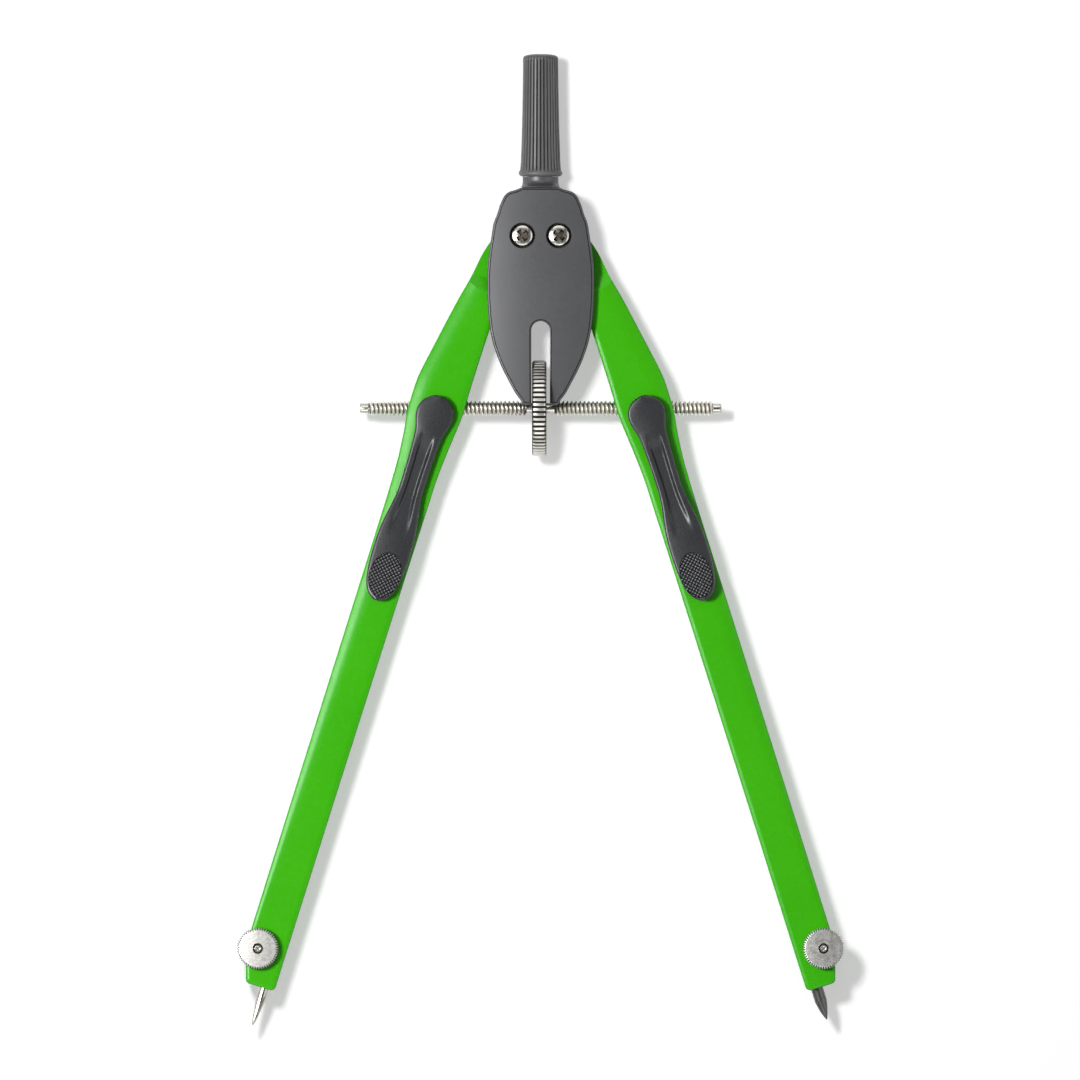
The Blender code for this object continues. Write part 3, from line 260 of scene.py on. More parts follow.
# Handle
SHOULDER = (  # (height, half width, half depth), as shares of the shoulder's height and of its radius
    (0.0, 1.09, 1.42), (0.1, 1.06, 1.36), (0.22, 1.03, 1.22), (0.36, 1.005, 1.08), (0.55, 1.0, 1.0),
    (1.0, 1.0, 1.0),
)
SHOULDER_BOTTOM, SHOULDER_TOP, SHOULDER_RADIUS = 8.06, 9.82, 3.0
CORE_RADIUS, CORE_BOTTOM, CORE_TOP = 2.0, 6.1, 23.5
YOKE_LOW, YOKE_HIGH = (-4.7, 4.1, -2.8), (4.7, 7.1, 2.8)
FILLER_LOW, FILLER_HIGH = (-3.1, 6.6, -2.6), (3.1, 8.1, 2.6)
GRIP_BOTTOM, GRIP_TOP, GRIP_RADIUS = 9.85, 30.3, 3.67
GRIP_BORE, GRIP_BORE_BOTTOM, GRIP_BORE_TOP = 2.3, 8.0, 23.8
FLUTES, FLUTE_STEPS = 32, 8
FLUTE_DEPTH = 0.30
FLUTE_SHADE_START, FLUTE_SHADE_FULL = 10.6, 11.0  # heights between which the painted shade of the flutes comes in
GRIP_ROWS = (  # (height, radius, depth of the flutes), each as a share
    (0.0, 0.86, 0), (0.006, 0.93, 0), (0.014, 0.98, 0), (0.026, 1.0, 0), (0.038, 0.985, 0),
    (0.046, 0.955, 0), (0.052, 0.935, 0.3), (0.060, 0.925, 0.8), (0.075, 0.918, 1), (0.12, 0.90, 1),
    (0.20, 0.885, 1), (0.32, 0.862, 1), (0.45, 0.842, 1), (0.60, 0.826, 1), (0.75, 0.812, 1),
    (0.88, 0.802, 1), (0.94, 0.80, 1), (0.951, 0.80, 0.85), (0.960, 0.798, 0.45), (0.968, 0.79, 0.0),
    (0.976, 0.775, 0), (0.983, 0.735, 0), (0.989, 0.66, 0), (0.994, 0.55, 0), (0.998, 0.40, 0),
    (1.0, 0.20, 0),
)

# Floor and camera. The photo is a square of PHOTO_SIDE pixels, seen straight down.
FLOOR_DROP = 8.03
FLOOR_REACH = 1200
FLOOR_GLOW = 0.42
WORLD_LEVEL = 0.10
PIXEL = 0.167
PHOTO_SIDE = 1080
AXIS_PIXEL = 540.6
PIVOT_PIXEL = 235.45
CAMERA_HEIGHT = 600
AIM = Vector((0, -52, 0)) * MM


# Materials
class Shader:
    """A small helper around one node-based material."""

    def __init__(self, name, colour, rough, metal=0.0, specular=0.5):
        self.mat = bpy.data.materials.new(name)
        self.mat.use_nodes = True
        self.mat.diffuse_color = (*colour, 1)
        self.tree = self.mat.node_tree
        self.bsdf = self.tree.nodes["Principled BSDF"]
        self.put(self.bsdf, ("Base Color", (*colour, 1)), ("Roughness", rough), ("Metallic", metal),
                 ("IOR", 1.5), ("Specular IOR Level", specular))
        self.place = self.new("ShaderNodeTexCoord").outputs["Object"]
        self.normal = None

    def put(self, node, *inputs):
        """Fills a node's inputs, each from a value or from a socket."""
        for key, value in inputs:
            if isinstance(value, bpy.types.NodeSocket):
                self.tree.links.new(value, node.inputs[key])
            else:
                node.inputs[key].default_value = value

    def new(self, kind, *inputs, **settings):
        node = self.tree.nodes.new(kind)
        for key, value in settings.items():
            setattr(node, key, value)
        self.put(node, *inputs)
        return node

    def maths(self, operation, *operands):
        return self.new("ShaderNodeMath", *enumerate(operands), operation=operation).outputs["Value"]

    def vector(self, operation, *operands):
        return self.new("ShaderNodeVectorMath", *enumerate(operands), operation=operation).outputs

    def noise(self, scale, detail=3.0, rough=0.5, stretch=(1, 1, 1), place=None):
        source = self.place if place is None else place
        mapping = self.new("ShaderNodeMapping", ("Scale", stretch), ("Vector", source))
        return self.new("ShaderNodeTexNoise", ("Scale", scale), ("Detail", detail), ("Roughness", rough),
                        ("Vector", mapping.outputs["Vector"])).outputs["Fac"]

    def ramp(self, source, low, high, start=0.3, end=0.7):
        return self.new("ShaderNodeMapRange", ("From Min", start), ("From Max", end), ("To Min", low),
                        ("To Max", high), ("Value", source)).outputs["Result"]

    def mix_colour(self, factor, a, b):
        """Mixes two colours, each given as a triple or as a socket, into the base colour."""
        a, b = ((*colour, 1) if isinstance(colour, tuple) else colour for colour in (a, b))
        mix = self.new("ShaderNodeMix", ("A", a), ("B", b), ("Factor", factor), data_type="RGBA")
        self.put(self.bsdf, ("Base Color", mix.outputs["Result"]))
        return mix.outputs["Result"]

    def distance(self, centre, weights):
        """How far a point lies from centre, in metres, each axis with its own weight."""
        offset = self.vector("SUBTRACT", self.place, Vector(centre) * MM)["Vector"]
        return self.vector("LENGTH", self.vector("MULTIPLY", offset, weights)["Vector"])["Value"]

    def crown(self, centre, weights, sag, reach):
        """Tilts the normals as on a face that sags by this much at this distance from its centre."""
        square = self.maths("POWER", self.distance(centre, weights), 2.0)
        self.bump(self.maths("MULTIPLY", square, -sag / (reach * MM) ** 2), 1.0)

    def rough(self, source):
        self.put(self.bsdf, ("Roughness", source))

    def bump(self, source, depth, strength=1.0):
        """Adds relief of this depth in millimetres to the relief so far."""
        node = self.new("ShaderNodeBump", ("Distance", depth * MM), ("Strength", strength),
                        ("Height", source))
        if self.normal is not None:
            self.put(node, ("Normal", self.normal))
        self.normal = node.outputs["Normal"]
        self.put(self.bsdf, ("Normal", self.normal))


def shade(colour, share):
    """A colour made darker, or lighter up to white."""
    return tuple(min(channel * share, 1) for channel in colour)


def green_lacquer():
    s = Shader("green_lacquer", (0.046, 0.475, 0.0), 0.26, specular=0.20)
    s.mix_colour(s.ramp(s.noise(60, 2), 0, 1), (0.042, 0.465, 0.0), (0.050, 0.487, 0.0))
    s.rough(s.ramp(s.noise(900, 4), 0.23, 0.30))
    s.bump(s.noise(420, 2), 0.02, 0.35)
    s.bump(s.noise(5200, 3), 0.003, 0.2)
    return s.mat


def head_satin():
    """Satin grey with an even fall of light across the head, as on a slightly rounded face."""
    s = Shader("head_satin", (0.088, 0.089, 0.094), 0.40, metal=0.2)
    s.mix_colour(s.ramp(s.noise(140, 3), 0, 1), (0.083, 0.084, 0.089), (0.093, 0.094, 0.099))
    s.rough(s.ramp(s.noise(2600, 4), 0.37, 0.45))
    s.crown((0, -14, 0), (1, 0.3, 0), 0.66, 9)
    s.bump(s.noise(6500, 4, 0.6), 0.012, 0.35)
    return s.mat


def plastic(name, colour, rough, grain=5200, specular=0.5, relief=0.012):
    s = Shader(name, colour, rough, specular=specular)
    s.mix_colour(s.ramp(s.noise(240, 3), 0, 1), shade(colour, 0.93), shade(colour, 1.08))
    s.rough(s.ramp(s.noise(3000, 4), rough - 0.05, rough + 0.07))
    s.bump(s.noise(grain, 4, 0.6), relief, 0.4)
    return s.mat


def handle_matt():
    """Matt plastic with painted shade in the flutes, which run at even angles round the handle's axis."""
    s = Shader("handle_matt", (0.12, 0.12, 0.122), 0.45)
    offset = s.vector("SUBTRACT", s.place, (0, 0, MID * MM))["Vector"]
    split = s.new("ShaderNodeSeparateXYZ", ("Vector", offset))
    angle = s.maths("ARCTAN2", split.outputs["Z"], split.outputs["X"])
    wave = s.maths("COSINE", s.maths("MULTIPLY", angle, FLUTES))
    fluted = s.ramp(split.outputs["Y"], 0, 1, FLUTE_SHADE_START * MM, FLUTE_SHADE_FULL * MM)
    ridge = s.mix_colour(s.ramp(s.noise(240, 3), 0, 1), (0.110, 0.110, 0.112), (0.128, 0.128, 0.130))
    # Painted shade: the colour darkens towards each flute's middle, where shade falls.
    groove = s.maths("MULTIPLY", s.ramp(wave, 0, 1, 0.0, 0.8), fluted)
    s.mix_colour(groove, ridge, (0.045, 0.045, 0.046))
    s.rough(s.ramp(s.noise(3000, 4), 0.40, 0.52))
    s.bump(s.noise(5200, 4, 0.6), 0.012, 0.4)
    return s.mat


def metal(name, dark, light, rough, brush=None):
    """Bare or plated metal. brush stretches the fine lines along one axis."""
    s = Shader(name, light, rough, metal=1.0)
    s.mix_colour(s.ramp(s.noise(500, 4, 0.6), 0, 1), dark, light)
    if brush:
        lines = s.noise(900, 3, 0.6, stretch=brush)
        s.rough(s.ramp(lines, rough - 0.06, rough + 0.10))
        s.bump(lines, 0.004, 0.5)
    else:
        s.rough(s.ramp(s.noise(2500, 3), rough - 0.05, rough + 0.08))
        s.bump(s.noise(4000, 3), 0.004, 0.3)
    return s.mat


def grooves_residue_and_shade(name, light, dark, root, crest):
    """Nickel whose grooves, between two radii from the spindle's axis, hold dark residue and painted shade.
    """
    s = Shader(name, light, 0.34, metal=1.0)
    fine = s.mix_colour(s.ramp(s.noise(900, 3), 0, 1), shade(light, 0.88), light)
    radius = s.distance((0, SPINDLE_Y, MID), (0, 1, 1))
    # The groove bottoms take the dark colour: partly residue, partly painted shade.
    s.mix_colour(s.ramp(radius, 1, 0, root * MM, crest * MM), fine, dark)
    s.rough(s.ramp(s.noise(2500, 3), 0.29, 0.44))
    s.bump(s.noise(4000, 3), 0.004, 0.3)
    return s.mat


def turned_face(name, light, centre, top):
    """Metal with fine turning lines in rings about an upright axis, slightly domed about top."""
    s = Shader(name, light, 0.42, metal=1.0)
    ring = s.new("ShaderNodeCombineXYZ", ("X", s.distance(centre, (1, 1, 0))))
    lines = s.noise(3200, place=ring.outputs["Vector"])
    worn = s.maths("MULTIPLY", s.ramp(lines, 0.4, 1), s.ramp(s.noise(2600, 3, 0.6), 0.2, 1))
    s.mix_colour(worn, shade(light, 0.62), shade(light, 1.35))
    s.rough(s.ramp(s.noise(1200, 3), 0.36, 0.48))
    s.crown(top, (1, 1, 0), KNOB_DOME, 3.2)
    s.bump(lines, 0.012, 0.7)
    s.bump(s.noise(2600, 2), 0.010, 0.8)
    return s.mat


GREEN = green_lacquer()
HEAD_GREY = head_satin()
HANDLE = handle_matt()
LEVER = plastic("lever_satin", (0.034, 0.035, 0.039), 0.30, specular=0.4, relief=0.004)
# The hatch's crests are a lighter copy of the lever plastic: a painted highlight.
HATCH_HIGHLIGHT = plastic("lever_crests_painted_highlight", (0.100, 0.101, 0.108), 0.30, relief=0.004)
# Near-black painted shade for the hatch's grooves and the crease round the covers' rims.
GROOVE_SHADE = plastic("painted_groove_shade", (0.006, 0.006, 0.007), 0.6, specular=0.2)
NICKEL = metal("nickel_plate", (0.50, 0.485, 0.44), (0.66, 0.64, 0.585), 0.22)
# The thread and the wheel are lighter copies of the nickel plate, as painted light; their dark colours are
# residue and painted shade.
THREAD = grooves_residue_and_shade("nickel_thread", (0.92, 0.89, 0.82), (0.13, 0.12, 0.10), 0.88, 1.02)
WHEEL = grooves_residue_and_shade("nickel_wheel", (0.75, 0.73, 0.675), (0.040, 0.037, 0.033), 7.74, 7.90)
# A darkened nickel for the screws' cross recesses: painted shade.
RECESS_SHADE = metal("nickel_recess_painted_shade", (0.06, 0.045, 0.036), (0.17, 0.135, 0.11), 0.42)
# Near-black painted shade for the screws' recesses in the front cover and the knobs' notches.
SHADE_WELL = plastic("painted_shade_well", (0.010, 0.010, 0.011), 0.5)
STEEL = metal("needle_steel", (0.42, 0.40, 0.36), (0.60, 0.575, 0.53), 0.20, brush=(1, 0.2, 1))
SPRING = metal("spring_steel", (0.32, 0.31, 0.30), (0.50, 0.49, 0.47), 0.30)
BRASS = metal("plain_brass", (0.55, 0.38, 0.14), (0.75, 0.56, 0.25), 0.32)
LEAD = plastic("graphite", (0.030, 0.028, 0.027), 0.32, grain=9000, specular=1.0, relief=0.006)


# Shapes
def show(name, data):
    """A new object in the scene."""
    obj = bpy.data.objects.new(name, data)
    bpy.context.scene.collection.objects.link(obj)
    return obj


def add(name, bm, material, angle=35.0):
    """Turns a bmesh in millimetres into an object in metres. Edges sharper than the angle stay sharp."""
    bmesh.ops.recalc_face_normals(bm, faces=bm.faces)
    bmesh.ops.scale(bm, verts=bm.verts, vec=(MM, MM, MM))
    mesh = bpy.data.meshes.new(name)
    bm.to_mesh(mesh)
    bm.free()
    mesh.materials.append(material)
    return smooth_edges(show(name, mesh), angle)


def smooth_edges(obj, angle=35.0):
    obj.data.shade_smooth()
    obj.data.set_sharp_from_angle(angle=radians(angle))
    return obj


def settle(obj, matrix, angle=None):
    """Moves a finished mesh by a matrix whose lengths are millimetres, and can smooth its cut edges first."""
    if angle:
        smooth_edges(obj, angle)
    matrix = matrix.copy()
    matrix.translation *= MM
    obj.data.transform(matrix)
    return obj


def evaluated(obj):
    """The mesh that an object's curve or modifiers make."""
    graph = bpy.context.evaluated_depsgraph_get()
    return bpy.data.meshes.new_from_object(obj.evaluated_get(graph), depsgraph=graph)


def modify(obj, kind, **settings):
    """Replaces the mesh by what one modifier makes of it."""
    modifier = obj.modifiers.new(kind.lower(), kind)
    for key, value in settings.items():
        setattr(modifier, key, value)
    mesh = evaluated(obj)
    obj.modifiers.clear()
    obj.data = mesh


def cut(obj, tools, operation="DIFFERENCE", material=None):
    """Cuts or joins each bmesh in turn. The new faces can have their own material."""
    for bm in tools:
        tool = add("tool", bm, material or obj.data.materials[0])
        modify(obj, "BOOLEAN", operation=operation, solver="EXACT", object=tool,
               material_mode="TRANSFER" if material else "INDEX")
        bpy.data.objects.remove(tool)


def plate(outline, low, high):
    """A flat outline given a thickness."""
    return lofted([[(x, y, z) for x, y in outline] for z in (low, high)])


def rod(radius, start, end, sides=32, end_radius=None):
    start, end = Vector(start), Vector(end)
    run = end - start
    turn = run.to_track_quat("Z", "Y").to_matrix().to_4x4()
    bm = bmesh.new()
    bmesh.ops.create_cone(
        bm, cap_ends=True, segments=sides, radius1=radius, radius2=end_radius or radius,
        depth=run.length, matrix=Matrix.Translation((start + end) / 2) @ turn,
    )
    return bm


def box(a, b):
    """A block between two opposite corners."""
    low = Vector([min(pair) for pair in zip(a, b)])
    size = Vector([max(pair) for pair in zip(a, b)]) - low
    bm = bmesh.new()
    bmesh.ops.create_cube(bm, size=1)
    bmesh.ops.scale(bm, verts=bm.verts, vec=size)
    bmesh.ops.translate(bm, verts=bm.verts, vec=low + size / 2)
    return bm


def lofted(rings, closed=False):
    """A skin over rings of points. closed joins the last ring to the first."""
    bm = bmesh.new()
    loops = [[bm.verts.new(point) for point in ring] for ring in rings]
    pairs = list(zip(loops, loops[1:]))
    if closed:
        pairs.append((loops[-1], loops[0]))
    for a, b in pairs:
        n = len(a)
        for i in range(n):
            j = (i + 1) % n
            bm.faces.new((a[i], a[j], b[j], b[i]))
    if not closed:
        bm.faces.new(loops[0])
        bm.faces.new(loops[-1])
    return bm


def circle(radius, sides):
    return [(radius * cos(TAU * i / sides), radius * sin(TAU * i / sides)) for i in range(sides)]


def lathe(profile, sides, axis="Z", centre=(0, 0, 0)):
    """Rings of a (radius, height) profile about an axis. Its first and last radius are zero."""
    bm = bmesh.new()
    rings = []
    for radius, height in profile:
        ring = []
        for a, b in circle(radius, sides if radius else 1):
            point = (a, b, height) if axis == "Z" else (a, height, b)
            ring.append(bm.verts.new(Vector(point) + Vector(centre)))
        rings.append(ring)
    for a, b in zip(rings, rings[1:]):
        for i in range(sides):
            j = (i + 1) % sides
            corners = [a[i % len(a)], a[j % len(a)], b[j % len(b)], b[i % len(b)]]
            bm.faces.new(list(dict.fromkeys(corners)))
    return bm


def curve_through(points, steps):
    """A Catmull-Rom curve."""
    out = []
    for i in range(len(points) - 1):
        p0, p1 = Vector(points[max(i - 1, 0)]), Vector(points[i])
        p2, p3 = Vector(points[i + 1]), Vector(points[min(i + 2, len(points) - 1)])
        for k in range(steps):
            t = k / steps
            out.append((2 * p1 + (p2 - p0) * t + (2 * p0 - 5 * p1 + 4 * p2 - p3) * t * t
                        + (3 * p1 - p0 - 3 * p2 + p3) * t ** 3) / 2)
    out.append(Vector(points[-1]))
    return out


def corner(before, point, after, radius, steps):
    """A rounded corner of an outline."""
    before, point, after = Vector(before), Vector(point), Vector(after)
    a, b = (before - point).normalized(), (after - point).normalized()
    half = a.angle(b) / 2
    reach = radius / tan(half)
    centre = point + (a + b).normalized() * (radius / sin(half))
    start, end = (point + a * reach - centre).normalized(), (point + b * reach - centre).normalized()
    return [centre + start.slerp(end, k / steps) * radius for k in range(steps + 1)]


def sample(table, x):
    """Reads a table of (x, value) with smooth cubic steps between its rows."""
    last = len(table) - 1
    i = next((i for i in range(last) if x <= table[i + 1][0]), last - 1)
    (x0, y0), (x1, y1) = table[max(i - 1, 0)], table[i]
    (x2, y2), (x3, y3) = table[i + 1], table[min(i + 2, last)]
    t = min(max((x - x1) / (x2 - x1), 0), 1)
    m1 = (y2 - y0) / (x2 - x0) * (x2 - x1)
    m2 = (y3 - y1) / (x3 - x1) * (x2 - x1)
    return ((2 * t ** 3 - 3 * t * t + 1) * y1 + (t ** 3 - 2 * t * t + t) * m1
            + (3 * t * t - 2 * t ** 3) * y2 + (t ** 3 - t * t) * m2)


def smoothstep(v):
    v = min(max(v, 0), 1)
    return v * v * (3 - 2 * v)


def leg_frame(side):
    """From a leg's own frame to the compass's."""
    return Matrix.Translation((side * PIVOT_HALF, 0, MID)) @ Matrix.Rotation(side * TILT, 4, "Z")


def leg_point(side, along, out, height=0.0):
    """A point in a leg's frame. The left leg is the right one mirrored."""
    return Vector((side * out, -along, height))


HEAD_FRAME = Matrix.Translation((0, 0, MID))


# Legs
def leg_outline():
    outer, inner = curve_through(LEG_OUTER, 4), curve_through(LEG_INNER, 4)
    outline = outer + corner(outer[-1], LEG_KNEE, LEG_HEEL, KNEE_ROUND, 6)
    outline += corner(LEG_KNEE, LEG_END, LEG_TOE, END_ROUND, 8)
    outline += corner(LEG_END, LEG_TOE, inner[0], TOE_ROUND, 8)
    return outline + inner + [Vector(point) for point in LEG_TOP]


def slope_drop(inset, reach):
    """How low a leg's face lies at this distance from its edge, where it slopes over this reach."""
    size = SLOPE_DROP + SLOPE_DROP_GROWTH * (reach - SLOPE_MIDDLE)
    return size * (max(reach - inset, 0) / reach) ** SLOPE_POWER


def leg_skin(side):
    """The bar as rings of its outline. Its faces slope slowly to the outer edge and fast to the inner one."""
    outline = leg_outline()
    (start, rise), (end, decline) = SLOPE_START, SLOPE_END
    inward, reaches = [], []
    for i, (along, out) in enumerate(outline):
        run = (outline[(i + 1) % len(outline)] - outline[i - 1]).normalized()
        inward.append(Vector((run.y, -run.x)))
        middle = smoothstep((along - start) / rise) * smoothstep((end - along) / decline)
        reaches.append(SLOPE_LEAST + (SLOPE_OUTER if out > LEG_MIDDLE else SLOPE_INNER) * middle)
    rounded = []
    for a in (EDGE_TURN * k / EDGE_STEPS for k in range(EDGE_STEPS + 1)):
        rounded.append((EDGE_ROUND * (1 - cos(a)), EDGE_ROUND * (sin(EDGE_TURN) - sin(a))))
    first = rounded[-1][0]

    def ring(facing, step):
        points = []
        for point, way, reach in zip(outline, inward, reaches):
            if step <= EDGE_STEPS:
                inset = rounded[step][0]
                drop = rounded[step][1] + slope_drop(first, reach)
            else:
                inset = first + (reach - first) * SLOPE_SHARES[step - EDGE_STEPS - 1]
                drop = slope_drop(inset, reach)
            along, out = point + way * inset
            points.append(leg_point(side, along, out, facing * (LEG_HALF - drop)))
        return points

    steps = range(EDGE_STEPS + 1 + len(SLOPE_SHARES))
    return lofted([ring(-1, k) for k in reversed(steps)] + [ring(1, k) for k in steps])


def tongue_cut(side, facing):
    """The step that thins the leg to its tongue between the covers, with its ramp."""
    top = LEG_HALF + OVERRUN
    ramp = TONGUE_RAMP * (top - TONGUE_HALF) / (LEG_HALF - TONGUE_HALF)
    profile = [(-LEG_WIDTH, TONGUE_HALF), (TONGUE_LENGTH, TONGUE_HALF)]
    profile += [(TONGUE_LENGTH + ramp, top), (-LEG_WIDTH, top)]
    return lofted([[leg_point(side, along, out, facing * height) for along, height in profile]
                   for out in (-LEG_WIDTH, 2 * LEG_WIDTH)])


def window_cut(side):
    """The fan-shaped window that leaves the spindle free from the closed to the open leg."""
    half = THREAD_RADIUS + CLEARANCE
    wide = half / cos(OPEN_TILT)
    opened, closed = LEG_WIDTH * tan(OPEN_TILT), LEG_WIDTH * tan(CLOSED_TILT)
    fan = (
        (-LEG_WIDTH, -opened - wide), (0, -wide), (LEG_WIDTH, closed - half),
        (LEG_WIDTH, opened + wide), (0, wide), (-LEG_WIDTH, half - closed),
    )
    return plate([leg_point(side, NUT_ALONG + along, NUT_OUT + out).xy for out, along in fan], -half, half)


def build_leg(side, label):
    leg = add(f"{label}_leg_body", leg_skin(side), GREEN)
    top, far = LEG_HALF + OVERRUN, LEG_WIDTH + OVERRUN
    below = LEG_LENGTH + OVERRUN
    lug = LUG_RADIUS + CLEARANCE

    def at(along, out, height=0.0):
        return leg_point(side, along, out, height)

    def hole(radius, along, out, low, high, sides=32):
        return rod(radius, at(along, out, low), at(along, out, high), sides)

    cut(leg, [
        tongue_cut(side, 1),
        tongue_cut(side, -1),
        window_cut(side),
        hole(CRADLE_RADIUS + CLEARANCE, NUT_ALONG, NUT_OUT, CRADLE_FLOOR - LEG_HALF, top, 48),
        hole(CRADLE_BOSS_RADIUS + CLEARANCE, NUT_ALONG, NUT_OUT, -top, 0),
        hole(BUSH_RADIUS + CLEARANCE, 0, 0, -top, top, 48),
        box(at(PIN_ALONG + lug, LEVER_OUT - LUG_HALF - CLEARANCE, PIN_HEIGHT - lug),
            at(PIN_ALONG - lug, LEVER_OUT + LUG_HALF + CLEARANCE, top)),
        rod(PIN_HOLE, at(PIN_ALONG, PIN_START, PIN_HEIGHT), at(PIN_ALONG, far, PIN_HEIGHT), 24),
        hole(SPRING_RADIUS + SPRING_WIRE / 2 + CLEARANCE, SPRING_ALONG, LEVER_OUT, SPRING_SEAT, top),
        rod(BORE_RADIUS, at(LEG_LENGTH - BORE_DEPTH, BORE_OUT), at(below, BORE_OUT), 40),
        box(at(below, BORE_OUT, -SLIT_HALF), at(LEG_LENGTH - SLIT_LENGTH, far, SLIT_HALF)),
        hole(STUD_RADIUS + FINE_CLEARANCE, CLAMP_ALONG, CLAMP_OUT, -top, top),
        hole(STUD_HEAD_RADIUS + FINE_CLEARANCE, CLAMP_ALONG, CLAMP_OUT, -top,
             STUD_HEAD_HEIGHT + FINE_CLEARANCE - LEG_HALF),
    ])
    return settle(leg, leg_frame(side), 30)


def build_hub(side, label):
    """The toothed hub disc, finer than the frame's."""
    pitch = TAU / GEAR_TEETH
    base = PIVOT_HALF * cos(GEAR_PRESSURE_ANGLE)
    tip, root = PIVOT_HALF + GEAR_ADDENDUM, PIVOT_HALF - GEAR_DEDENDUM
    radii = [tip + (base - tip) * k / 4 for k in range(5)] + [root]
    involute = tan(GEAR_PRESSURE_ANGLE) - GEAR_PRESSURE_ANGLE
    half_tooth = pitch / 4 - GEAR_BACKLASH / (4 * PIVOT_HALF) + involute

    def half_gap(radius):
        pressure = acos(min(base / radius, 1))
        return pitch / 2 - half_tooth + tan(pressure) - pressure

    points = []
    for i in range(GEAR_TEETH):
        offset = (i + (0 if side > 0 else 0.5)) * pitch
        middle = pi - TILT + offset
        flank = radii if abs(remainder(offset, TAU)) < GEAR_SECTOR else radii[:1]
        points += [(r, middle - half_gap(r)) for r in flank]
        points += [(r, middle + half_gap(r)) for r in reversed(flank)]
    outline = [(side * r * cos(a), r * sin(a)) for r, a in points]
    hub = add(f"{label}_hub_teeth", plate(outline, -HUB_HALF, HUB_HALF), GREEN)
    bore = LEG_HALF + OVERRUN
    cut(hub, [rod(BUSH_RADIUS + CLEARANCE, (0, 0, -bore), (0, 0, bore), 48)])
    return settle(hub, leg_frame(side), 30)


# Head
def head_outline():
    """Down the right flank, round the wheel's slot and up the left flank."""
    flank = curve_through(HEAD_OUTLINE, 5)
    foot = Vector((SLOT_HALF, HEAD_FOOT))
    heel = corner(flank[-2], (HEAD_FOOT_HALF, HEAD_FOOT), foot, HEAD_FOOT_ROUND, 5)
    right = flank[:-1] + heel + [foot]
    turns = [pi * k / 12 for k in range(13)]
    centre = Vector((0, SLOT_TOP - SLOT_HALF))
    arc = [centre + SLOT_HALF * Vector((cos(a), sin(a))) for a in turns]
    return right + arc + [Vector((-point.x, point.y)) for point in reversed(right)]


def bevel_rims(obj, width_of):
    """Bevels chosen edges, each by its own width: width_of(middle of the edge, its run) gives it, or 0."""
    mesh = obj.data
    widths = []
    for edge in mesh.edges:
        a, b = (mesh.vertices[i].co / MM for i in edge.vertices)
        widths.append(width_of((a + b) / 2, b - a))
    widest = max(widths)
    weights = mesh.attributes.new("bevel_weight_edge", "FLOAT", "EDGE")
    for weight, width in zip(weights.data, widths):
        weight.value = width / widest
    modify(obj, "BEVEL", limit_method="WEIGHT", width=widest * MM, segments=4, profile=0.55,
           use_clamp_overlap=False, miter_outer="MITER_ARC")


def shade_rim_crease(cover, face):
    """A fine groove round the cover's face, just inside its rim, painted near-black as the shade in that
    crease.
    """
    cover.data.materials.append(GROOVE_SHADE)
    bm = bmesh.new()
    bm.from_mesh(cover.data)
    level = [f for f in bm.faces if abs(f.calc_center_median().z / MM - face) < TOUCH]
    flat = max(level, key=lambda f: f.calc_area())
    for depth in (-RIM_LINE_DEPTH, RIM_LINE_DEPTH):
        made = bmesh.ops.inset_region(
            bm, faces=[flat], thickness=RIM_LINE_WIDTH * MM, depth=depth * MM, use_even_offset=False,
        )
        for f in made["faces"]:
            f.material_index = 1
    bm.to_mesh(cover.data)
    bm.free()


def build_cover(name, facing):
    """The cover that faces up, with recesses for the screws, or the one that faces down."""
    face = facing * HEAD_HALF
    low, high = sorted((facing * CAVITY_HALF, face))
    cover = add(name, plate(head_outline(), low, high), HEAD_GREY)

    def width(middle, run):
        if abs(middle.z - face) > TOUCH or abs(run.z) > TOUCH:
            return 0
        in_slot = abs(middle.x) <= SLOT_HALF + TOUCH and middle.y < SLOT_TOP + TOUCH
        return SLOT_BEVEL if in_slot else RIM_BEVEL

    bevel_rims(cover, width)
    shade_rim_crease(cover, face)

    def post(radius, x, low, high, sides=64, end_radius=None):
        return rod(radius, (x, 0, facing * low), (x, 0, facing * high), sides, end_radius)

    for x in (-PIVOT_HALF, PIVOT_HALF):
        cut(cover, [post(BOSS_RADIUS, x, BOSS_FACE, BOSS_ROOT)], "UNION")
    top = HEAD_HALF + OVERRUN
    (low_radius, low_rim), (high_radius, high_rim) = RECESS_RIM_LOW, RECESS_RIM_HIGH
    for x in (-PIVOT_HALF, PIVOT_HALF):
        cut(cover, [post(SCREW_RADIUS + FINE_CLEARANCE, x, 0, top, 32)])
        if facing > 0:
            # The recess round each screw head is lined with near-black painted shade.
            cut(cover, [post(RECESS_RADIUS, x, RECESS_FLOOR, top)], material=SHADE_WELL)
            cut(cover, [post(low_radius, x, low_rim, high_rim, end_radius=high_radius)])
    return settle(cover, HEAD_FRAME, 30)


def cross_blade(turn):
    """One of the two crossed blades that a screw's recess is cut with."""
    waist, narrow = CROSS_WAIST
    flank = [(-1, -1), (-waist, -narrow), (waist, -narrow), (1, -1)]
    outline = flank + [(-x, -y) for x, y in flank]
    blade = lofted([[(x * length, y * width, SCREW_SEAT + lift) for x, y in outline]
                    for lift, length, width in (CROSS_TOP, CROSS_BOTTOM)])
    bmesh.ops.rotate(blade, verts=blade.verts, cent=(0, 0, 0), matrix=Matrix.Rotation(turn, 3, "Z"))
    return blade


